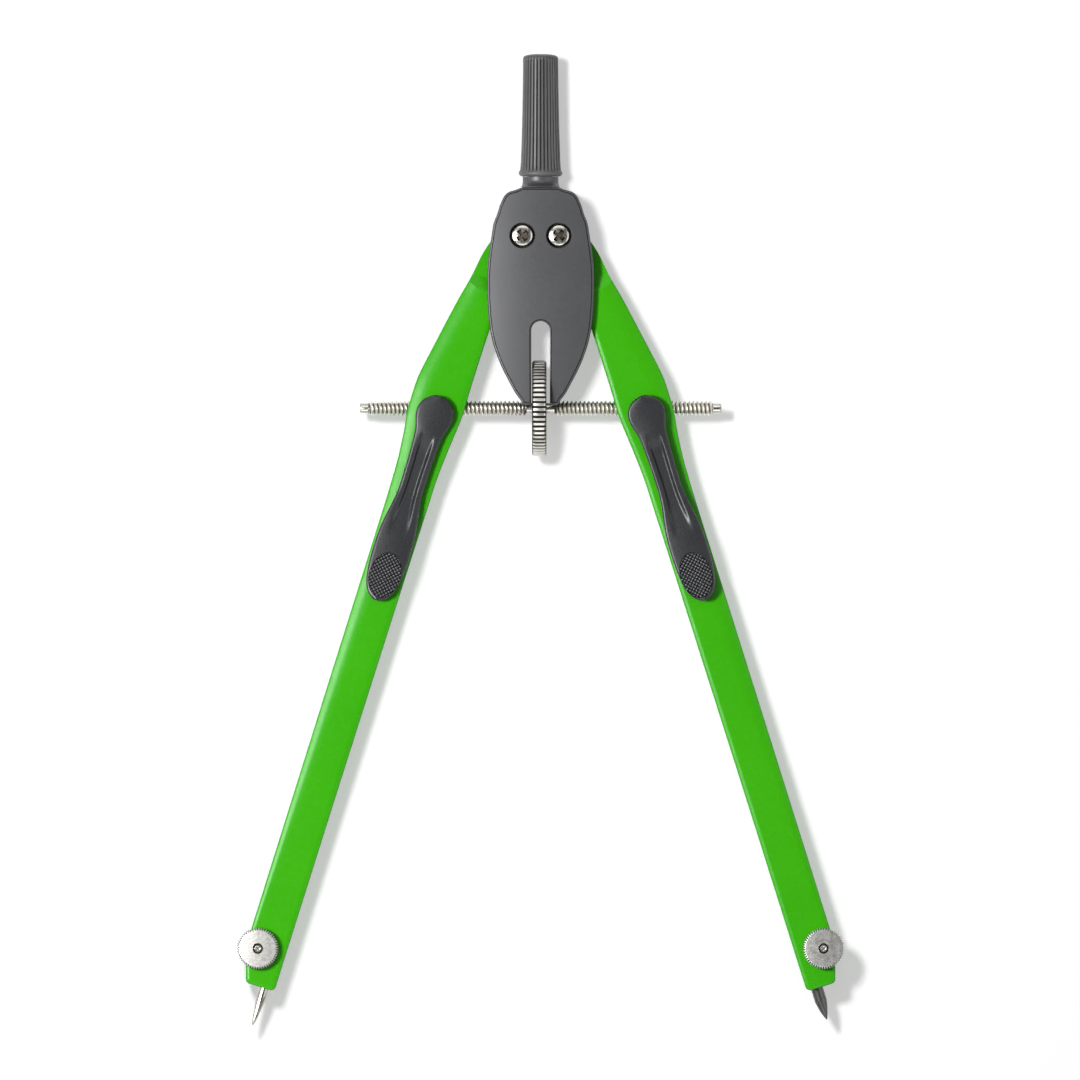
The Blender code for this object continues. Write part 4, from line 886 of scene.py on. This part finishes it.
def build_screw(side, label):
    """A domed screw head with a cross recess, whose walls are a darkened nickel as painted shade."""
    profile = [(radius, SCREW_SEAT + height) for radius, height in SCREW_HEAD]
    profile += [(SCREW_RADIUS, SCREW_SEAT), (SCREW_RADIUS, SCREW_END), (0, SCREW_END)]
    screw = add(f"{label}_screw", lathe(profile, 64), NICKEL, angle=40)
    turn = radians(CROSS_TURN[label])
    cut(screw, [cross_blade(turn), cross_blade(turn + pi / 2)], material=RECESS_SHADE)
    return settle(screw, HEAD_FRAME @ Matrix.Translation((side * PIVOT_HALF, 0, 0)), 40)


def build_stem():
    """The oval shoulder that narrows to a round neck, its yoke and its core."""
    widths = [(share, width) for share, width, depth in SHOULDER]
    depths = [(share, depth) for share, width, depth in SHOULDER]
    rings = []
    for k in range(29):
        share = k / 28
        width, depth = sample(widths, share), sample(depths, share)
        y = SHOULDER_BOTTOM + (SHOULDER_TOP - SHOULDER_BOTTOM) * share
        rings.append([(width * a, y, depth * b) for a, b in circle(SHOULDER_RADIUS, 72)])
    stem = add("neck_shoulder", lofted(rings), HEAD_GREY)
    core = rod(CORE_RADIUS, (0, CORE_BOTTOM, 0), (0, CORE_TOP, 0), 48)
    cut(stem, [core, box(YOKE_LOW, YOKE_HIGH), box(FILLER_LOW, FILLER_HIGH)], "UNION")
    return settle(stem, HEAD_FRAME, 35)


def build_grip():
    """The fluted handle with its collar and its rounded cap."""
    around = circle(1, FLUTES * FLUTE_STEPS)
    grooves = [max(0.0, cos(TAU * i / FLUTE_STEPS)) ** 1.5 for i in range(len(around))]
    rings = []
    for share, width, depth in GRIP_ROWS:
        y = GRIP_BOTTOM + (GRIP_TOP - GRIP_BOTTOM) * share
        radii = [GRIP_RADIUS * width - FLUTE_DEPTH * depth * groove for groove in grooves]
        rings.append([(r * a, y, r * b) for r, (a, b) in zip(radii, around)])
    grip = add("fluted_grip", lofted(rings), HANDLE, angle=50)
    cut(grip, [rod(GRIP_BORE, (0, GRIP_BORE_BOTTOM, 0), (0, GRIP_BORE_TOP, 0), 48)])
    return settle(grip, HEAD_FRAME, 50)


# Spindle and wheel
def thread_radius(x, angle):
    """The radius at a distance x from the spindle's middle, where the ridge moves outwards with the angle."""
    phase = (x / THREAD_PITCH - angle / TAU) % 1.0
    share = min(max((abs(phase - 0.5) * 2 - THREAD_CREST) / THREAD_FLANK, 0), 1)
    fade = max(min((x - THREAD_START) / THREAD_FADE, (THREAD_END - x) / THREAD_FADE, 1.0), 0.0)
    full = THREAD_RADIUS - (THREAD_RADIUS - THREAD_ROOT) * share
    return min(full, NECK_RADIUS + (THREAD_RADIUS - NECK_RADIUS) * fade)


def build_spindle():
    """The rod with its two threaded halves, whose ridges both run right-handed, its neck and turned ends."""
    angles = [TAU * i / SPINDLE_SIDES for i in range(SPINDLE_SIDES)]

    def ring(x, radii):
        return [(x, SPINDLE_Y + r * cos(a), MID + r * sin(a)) for r, a in zip(radii, angles)]

    def plain(x, radius):
        return ring(x, [radius] * SPINDLE_SIDES)

    def half(sign):
        """One half of the rod, from the neck to the end."""
        run = THREAD_END - THREAD_START
        count = int(run / THREAD_PITCH * THREAD_STEPS)
        places = [THREAD_START + run * k / count for k in range(count + 1)]
        rings = [plain(sign * NECK_FLAT, NECK_RADIUS), plain(sign * NECK_HALF, NECK_RADIUS)]
        rings += [ring(sign * x, [thread_radius(x, sign * a) for a in angles]) for x in places]
        return rings + [plain(sign * x, radius) for x, radius in reversed(SPINDLE_END)]

    spindle = add("threaded_spindle", lofted(half(-1)[::-1] + half(1)), THREAD, angle=28)
    spindle.data.materials.append(NICKEL)
    for face in spindle.data.polygons:
        face.material_index = int(not NECK_HALF < abs(face.center.x) / MM < PLAIN_START)
    return spindle


def build_wheel():
    """Straight teeth with flat tips, and a sunk ring on each face."""
    teeth = [(TAU * (i + phase) / WHEEL_TEETH, WHEEL_RADIUS - WHEEL_DEPTH * share)
             for i in range(WHEEL_TEETH) for phase, share in WHEEL_TOOTH]

    def place(x, y, z):
        return (WHEEL_OFFSET + x, SPINDLE_Y + y, MID + z)

    def rim(x, cap):
        return [place(x, min(r, cap) * cos(a), min(r, cap) * sin(a)) for a, r in teeth]

    def plain(x, radius):
        return [place(x, a, b) for a, b in circle(radius, len(teeth))]

    def half(sign):
        """One half of the wheel, from the bore over the face to the rim."""
        rings = [plain(sign * (WHEEL_HALF - drop), radius) for drop, radius in reversed(WHEEL_FACE)]
        return rings + [rim(sign * (WHEEL_HALF - drop), radius) for drop, radius in WHEEL_RIM]

    return add("toothed_wheel", lofted(half(-1) + half(1)[::-1], closed=True), WHEEL, angle=28)


# Levers
def lever_half(share):
    """Half width at a share of the lever's length: a true circle at the head, then the measured curve."""
    reach = share * LEVER_LENGTH
    if reach < LEVER_HEAD_RADIUS * LEVER_HEAD_SHARE:
        return sqrt(max(LEVER_HEAD_RADIUS ** 2 - (reach - LEVER_HEAD_RADIUS) ** 2, 0.0))
    return LEVER_HALF * sample(LEVER_WIDTHS, share)


def pad_ramp(share):
    """0 up to where the pad starts, 1 at the lever's end."""
    return max(share - PAD_START, 0) / (1 - PAD_START)


def lever_edge(half):
    return min(LEVER_EDGE, half * 0.7)


def lever_top(share, across):
    """Height of the lever's face over the leg's middle plane. across runs from -1 to 1."""
    ramp = pad_ramp(share)
    face = LEVER_FACE + PAD_RISE * ramp - PAD_THINNING * smoothstep(ramp)
    crown = LEVER_CROWN * (1 - across * across)
    run = (share - SCOOP_START) / (SCOOP_END - SCOOP_START)
    if 0 < run < 1:
        deep = smoothstep(min(run / SCOOP_ENTRY, (1 - run) / SCOOP_EXIT, 1.0))
        rim = SCOOP_RIM + SCOOP_FLARE * abs(run - SCOOP_NARROW)
        wall = smoothstep((rim - abs(across)) / SCOOP_WALL)
        crown = crown * (1 - deep) - SCOOP_DEPTH * deep * wall
    return face + crown


def lever_ring(share):
    """The lever's outline across, as (out from its middle, height)."""
    half = lever_half(share)
    bottom = LEVER_UNDERSIDE + PAD_RISE * pad_ramp(share)
    edge, top = lever_edge(half), lever_top(share, 1.0)
    flank = [(half - edge * inset, bottom + edge * rise) for inset, rise in LEVER_LOWER_EDGE]
    for a in (pi / 2 * j / 5 for j in range(5)):
        flank.append((half - edge * (1 - cos(a)), top - edge * (1 - sin(a))))
    places = [(half - edge) * (1 - 2 * j / LEVER_SPANS) for j in range(LEVER_SPANS + 1)]
    face = [(x, lever_top(share, x / (half - edge))) for x in places]
    return flank + face + [(-x, z) for x, z in reversed(flank)]


def build_lever(side, label):
    """The lever with its lug, as rows across it, which lie closer together at its two ends."""
    first = cos(pi * LEVER_END)
    rows = []
    for k in range(LEVER_ROWS + 1):
        turn = pi * (LEVER_END + (1 - 2 * LEVER_END) * k / LEVER_ROWS)
        share = min(max((first - cos(turn)) / (2 * first), LEVER_TIP), 1 - LEVER_TIP)
        along = LEVER_START + LEVER_LENGTH * share
        rows.append([leg_point(side, along, LEVER_OUT + x, z) for x, z in lever_ring(share)])
    lever = add(f"{label}_lever_body", lofted(rows), LEVER, angle=60)
    pin, nut = leg_point(side, PIN_ALONG, LEVER_OUT, PIN_HEIGHT), leg_point(side, NUT_ALONG, NUT_OUT)
    across = Vector((LUG_HALF, 0, 0))
    web = box(pin + Vector((-LUG_HALF, -LUG_RADIUS, 0)), pin + Vector((LUG_HALF, LUG_RADIUS, LUG_HEIGHT)))
    cut(lever, [web, rod(LUG_RADIUS, pin - across, pin + across)], "UNION")
    cut(lever, [rod(PIN_HOLE, pin - across * 2, pin + across * 2, 24),
                rod(NUT_PIN_HOLE, nut, nut + Vector((0, 0, NUT_PIN_REACH))), hatch_pocket(side)])
    return settle(lever, leg_frame(side), 42)


def pad_height(along, out):
    """Height of the lever's face at a place in the leg's frame."""
    share = (along - LEVER_START) / LEVER_LENGTH
    half = lever_half(share)
    return lever_top(share, min(max((out - LEVER_OUT) / (half - lever_edge(half)), -1), 1))


def hatch_pocket(side):
    """The oval pocket in the pad that the cross-hatching lies in."""
    rings = []
    for lift in (-POCKET_DEPTH, POCKET_TOP):
        ring = []
        for a, b in circle(POCKET_SHARE, 64):
            along, out = HATCH_ALONG + HATCH_HALF_LENGTH * a, HATCH_OUT + HATCH_HALF_WIDTH * b
            ring.append(leg_point(side, along, out, pad_height(along, out) + lift))
        rings.append(ring)
    return lofted(rings)


def build_hatch(side, label):
    """The cross-hatched oval on the pad: rows of small pillows with a painted highlight, between crossed
    grooves in painted shade.
    """
    step = HATCH_PITCH / HATCH_STEPS
    count = int(HATCH_HALF_LENGTH / step) + 2
    bm = bmesh.new()
    grid = {}
    for i in range(-count, count + 1):
        for j in range(-count, count + 1):
            down, across = (i + j) * step / sqrt(2), (i - j) * step / sqrt(2)
            if (down / HATCH_HALF_LENGTH) ** 2 + (across / HATCH_HALF_WIDTH) ** 2 > 1:
                continue
            along, out = HATCH_ALONG + down, HATCH_OUT + across
            pillow = abs(sin(pi * i / HATCH_STEPS) * sin(pi * j / HATCH_STEPS)) ** 0.5
            height = pad_height(along, out) - HATCH_SINK + HATCH_HEIGHT * pillow
            grid[i, j] = bm.verts.new(leg_point(side, along, out, height))
    # The rows on each side of a groove line take the painted shade.
    low = (0, HATCH_STEPS - 1)
    for i, j in grid:
        keys = [(i, j), (i + 1, j), (i + 1, j + 1), (i, j + 1)]
        if all(key in grid for key in keys):
            face = bm.faces.new([grid[key] for key in keys])
            face.material_index = int(i % HATCH_STEPS in low or j % HATCH_STEPS in low)
    rim = [edge for edge in bm.edges if len(edge.link_faces) == 1]
    made = bmesh.ops.extrude_edge_only(bm, edges=rim)
    for vert in (part for part in made["geom"] if isinstance(part, bmesh.types.BMVert)):
        vert.co.z -= HATCH_SKIRT
    bmesh.ops.holes_fill(bm, edges=[edge for edge in bm.edges if len(edge.link_faces) == 1], sides=0)
    hatch = add(f"{label}_lever_hatch", bm, HATCH_HIGHLIGHT, angle=20)
    hatch.data.materials.append(GROOVE_SHADE)
    return settle(hatch, leg_frame(side))


def build_spring(side, label):
    """A coil between its seat in the leg and the lever's underside."""
    curve = bpy.data.curves.new(f"{label}_coil", "CURVE")
    curve.dimensions = "3D"
    curve.bevel_depth = SPRING_WIRE / 2
    curve.bevel_resolution = 4
    curve.use_fill_caps = True
    gap = SPRING_WIRE / 2 + FINE_CLEARANCE
    share = (SPRING_ALONG - SPRING_RADIUS - LEVER_START) / LEVER_LENGTH
    low, high = SPRING_SEAT + gap, LEVER_UNDERSIDE + PAD_RISE * pad_ramp(share) - gap
    spline = curve.splines.new("POLY")
    count = SPRING_TURNS * SPRING_STEPS
    spline.points.add(count)
    for k, point in enumerate(spline.points):
        a = TAU * k / SPRING_STEPS
        height = low + (high - low) * k / count
        point.co = (SPRING_RADIUS * cos(a), SPRING_RADIUS * sin(a), height, 1)
    guide = show("guide", curve)
    bm = bmesh.new()
    bm.from_mesh(evaluated(guide))
    bpy.data.objects.remove(guide)
    bmesh.ops.remove_doubles(bm, verts=bm.verts, dist=TOUCH)
    spring = add(f"{label}_coil_spring", bm, SPRING, angle=50)
    return settle(spring, leg_frame(side) @ Matrix.Translation(leg_point(side, SPRING_ALONG, LEVER_OUT)))


# Knobs and points
def build_knob(side, label):
    """A clamp nut with a knurled rim. The notches of the rim are painted near-black as shade."""
    centre = leg_frame(side) @ leg_point(side, CLAMP_ALONG, CLAMP_OUT)
    count = KNOB_TEETH * KNOB_STEPS

    def ring(height, reach, depth=0.0):
        points = []
        for i, (a, b) in enumerate(circle(1, count)):
            radius = reach - depth * (0.5 - 0.5 * cos(TAU * i / KNOB_STEPS))
            points.append(centre + Vector((radius * a, radius * b, height)))
        return points

    rings = [ring(KNOB_BOTTOM, KNOB_BORE), ring(KNOB_BOTTOM, KNOB_FOOT)]
    rings += [ring(KNOB_BOTTOM + rise, radius, depth) for rise, radius, depth in KNOB_LOWER_ROWS]
    rings += [ring(KNOB_TOP - drop, radius, depth) for drop, radius, depth in KNOB_UPPER_ROWS]
    rings += [ring(KNOB_TOP - drop, radius) for drop, radius in KNOB_FACE]
    # The two knobs are lighter and darker copies of one nickel: painted light.
    painted_light_tone = KNOB_PAINTED_LIGHT[label]
    top = centre + Vector((KNOB_TOP_SHIFT[label], 0, 0))
    material = turned_face(f"{label}_knob_nickel", (painted_light_tone, 0.99 * painted_light_tone, 0.94 * painted_light_tone), centre, top)
    knob = add(f"{label}_knurled_knob", lofted(rings, closed=True), material, angle=30)
    knob.data.materials.append(SHADE_WELL)
    for face in knob.data.polygons:
        out = face.center / MM - centre
        in_notch = cos(atan2(out.y, out.x) * KNOB_TEETH) < -0.1
        if in_notch and out.xy.length > KNOB_NOTCH and out.z < KNOB_TOP - 0.01:
            face.material_index = 1
    return knob


def build_stud(side, label):
    centre = leg_frame(side) @ leg_point(side, CLAMP_ALONG, CLAMP_OUT)
    return add(f"{label}_stud", lathe(STUD_PROFILE, 48, centre=centre), NICKEL)


def grind(bm):
    """Two long flats, ground along the needle's taper."""
    for vert in bm.verts:
        ground = smoothstep((GROUND_TOP - vert.co.y) / GROUND_FADE)
        limit = hypot(vert.co.x, vert.co.z) * (1 - GROUND_SHARE * ground)
        for turn in NEEDLE_FLATS:
            flat = Vector((sin(radians(turn)), 0, cos(radians(turn))))
            vert.co -= flat * max(vert.co.dot(flat) - limit, 0)


def seat_point(obj, side, reach):
    """Puts a piece that is drawn up from its tip into the bore of its leg."""
    return settle(obj, leg_frame(side) @ Matrix.Translation(leg_point(side, LEG_LENGTH + reach, BORE_OUT)))


def build_needle():
    end = [(NEEDLE_RADIUS, NEEDLE_LENGTH - 0.2), (NEEDLE_RADIUS - 0.15, NEEDLE_LENGTH), (0, NEEDLE_LENGTH)]
    bm = lathe([*NEEDLE_POINT, *end], 48, "Y")
    grind(bm)
    return seat_point(add("needle", bm, STEEL, angle=25), -1, NEEDLE_REACH)


def build_lead():
    profile = [(0, 0), (0.05, 0.01)]
    profile += [(sample(LEAD_POINT, k / 24), 0.03 + LEAD_TAPER * k / 24) for k in range(25)]
    profile += [(LEAD_RADIUS, LEAD_LENGTH - 0.1), (LEAD_RADIUS - 0.08, LEAD_LENGTH), (0, LEAD_LENGTH)]
    return seat_point(add("lead_stick", lathe(profile, 48, "Y"), LEAD, angle=25), 1, LEAD_REACH)


# Assembly
def dress(piece, body, *nodes, slot=None):
    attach(piece, body)
    if nodes:
        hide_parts(*nodes)


dress(build_cover("head_front_plate", 1), "head", "head_front_cover", slot="head_casting")
dress(build_cover("head_rear_plate", -1), "head", "head_rear_cover", slot="head_casting")
dress(build_stem(), "head", "handle_stem", slot="head_casting")
dress(build_grip(), "head", "handle_grip", slot="handle_plastic")
dress(build_spindle(), "spindle", "spindle", slot="nickel")
dress(build_wheel(), "wheel", "thumb_wheel", slot="nickel")
for side, label in ((-1, "left"), (1, "right")):
    dress(build_screw(side, label), "head", f"{label}_pivot_screw", slot="nickel")
    dress(build_leg(side, label), f"{label}_leg", f"{label}_leg", slot="green_paint")
    dress(build_hub(side, label), f"{label}_leg", slot="green_paint")
    dress(build_lever(side, label), f"{label}_lever", f"{label}_release_lever", slot="lever_plastic")
    dress(build_hatch(side, label), f"{label}_lever", slot="lever_plastic")
    dress(build_spring(side, label), f"{label}_leg", f"{label}_lever_spring", slot="steel")
    dress(build_knob(side, label), f"{label}_knob", f"{label}_clamp_knob", slot="nickel")
    dress(build_stud(side, label), f"{label}_leg", f"{label}_clamp_stud", slot="nickel")
dress(build_needle(), "needle", "needle_point", slot="steel")
dress(build_lead(), "lead", "lead", slot="graphite")

CARRIED = {"spindle_cradle": BRASS, "half_nut": NICKEL, "pivot_sleeve": BRASS, "lever_pin": STEEL}
for piece, material in CARRIED.items():
    for label in ("left", "right"):
        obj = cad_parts[f"{label}_{piece}"]
        obj.data.materials.clear()
        obj.data.materials.append(material)


# Floor, light and camera
def floor_material():
    """Pale matt paint with a glow that only the camera and mirrored rays see."""
    s = Shader("pale_floor", (0.663, 0.652, 0.667), 0.9, specular=0.1)
    paths = s.new("ShaderNodeLightPath").outputs
    seen = s.maths("ADD", paths["Is Camera Ray"], paths["Is Glossy Ray"])
    power = s.maths("MULTIPLY", seen, FLOOR_GLOW)
    glow = s.new("ShaderNodeEmission", ("Color", (1, 0.99, 1, 1)), ("Strength", power))
    both = s.new("ShaderNodeAddShader", (0, s.bsdf.outputs["BSDF"]), (1, glow.outputs["Emission"]))
    s.put(s.tree.nodes["Material Output"], ("Surface", both.outputs["Shader"]))
    return s.mat


def build_floor():
    """A level plane just under the wheel's rim."""
    bm = bmesh.new()
    for x, y in ((-1, -1), (1, -1), (1, 1), (-1, 1)):
        bm.verts.new((x * FLOOR_REACH, y * FLOOR_REACH, MID - FLOOR_DROP))
    bm.faces.new(bm.verts)
    floor = add("floor", bm, floor_material())
    return floor


def lamp(name, direction, distance, size, power, diffuse=True, glossy=True):
    """A square soft box that faces the compass, in metres. diffuse and glossy say what sees it."""
    data = bpy.data.lights.new(name, "AREA")
    data.energy = power
    data.size = size
    obj = show(name, data)
    obj.location = AIM + Vector(direction).normalized() * distance
    obj.rotation_euler = (AIM - obj.location).to_track_quat("-Z", "Y").to_euler()
    obj.visible_diffuse = diffuse
    obj.visible_glossy = glossy
    return obj


def limit_to(obj, pieces, state):
    """The lamp lights only these pieces, or all but these."""
    group = bpy.data.collections.new(f"{obj.name}_receivers")
    for piece in pieces:
        group.objects.link(piece)
    for entry in group.collection_objects:
        entry.light_linking.link_state = state
    obj.light_linking.receiver_collection = group


def build_world():
    """A dim white world that the camera sees as plain white."""
    world = bpy.data.worlds.new("studio")
    bpy.context.scene.world = world
    world.use_nodes = True
    tree = world.node_tree
    background = tree.nodes["Background"].inputs
    background["Color"].default_value = (1, 1, 1, 1)
    paths = tree.nodes.new("ShaderNodeLightPath")
    level = tree.nodes.new("ShaderNodeMapRange")
    level.inputs["To Min"].default_value = WORLD_LEVEL
    level.inputs["To Max"].default_value = 1.0
    tree.links.new(paths.outputs["Is Camera Ray"], level.inputs["Value"])
    tree.links.new(level.outputs["Result"], background["Strength"])


def build_camera():
    """Looks straight down without perspective. A pixel of the photo is PIXEL wide."""
    camera = show("camera", bpy.data.cameras.new("camera"))
    camera.data.type = "ORTHO"
    camera.data.ortho_scale = PHOTO_SIDE * PIXEL * MM
    x, y = PHOTO_SIDE / 2 - AXIS_PIXEL, PIVOT_PIXEL - PHOTO_SIDE / 2
    camera.location = (x * PIXEL * MM, y * PIXEL * MM, CAMERA_HEIGHT * MM)
    camera.rotation_euler = (0, 0, 0)
    camera.data.clip_start, camera.data.clip_end = 0.01, 5
    bpy.context.scene.camera = camera


floor = build_floor()
limit_to(lamp("floor_key", (-0.20, 0.19, 1.0), 0.75, 0.08, 4.3, glossy=False), [floor], "INCLUDE")
limit_to(lamp("key", (-0.46, 0.04, 1.0), 0.75, 0.12, 4.45, glossy=False), [floor], "EXCLUDE")
lamp("sky", (0.0, 0.0, 1.0), 0.85, 1.2, 1.9, glossy=False)
lamp("sheen", (-0.55, 0.0, 0.84), 0.75, 0.30, 5.8, diffuse=False)
lamp("left_card", (-0.8, -0.05, 0.5), 0.95, 0.8, 1.6, diffuse=False)
lamp("right_card", (0.8, -0.05, 0.55), 0.95, 0.8, 3.0, diffuse=False)
lamp("front_card", (0.0, -0.75, 0.6), 0.95, 0.8, 3.6, diffuse=False)
lamp("back_card", (0.0, 0.75, 0.6), 0.95, 0.8, 3.2, diffuse=False)
build_world()
build_camera()
bpy.context.scene.view_settings.view_transform = "Standard"
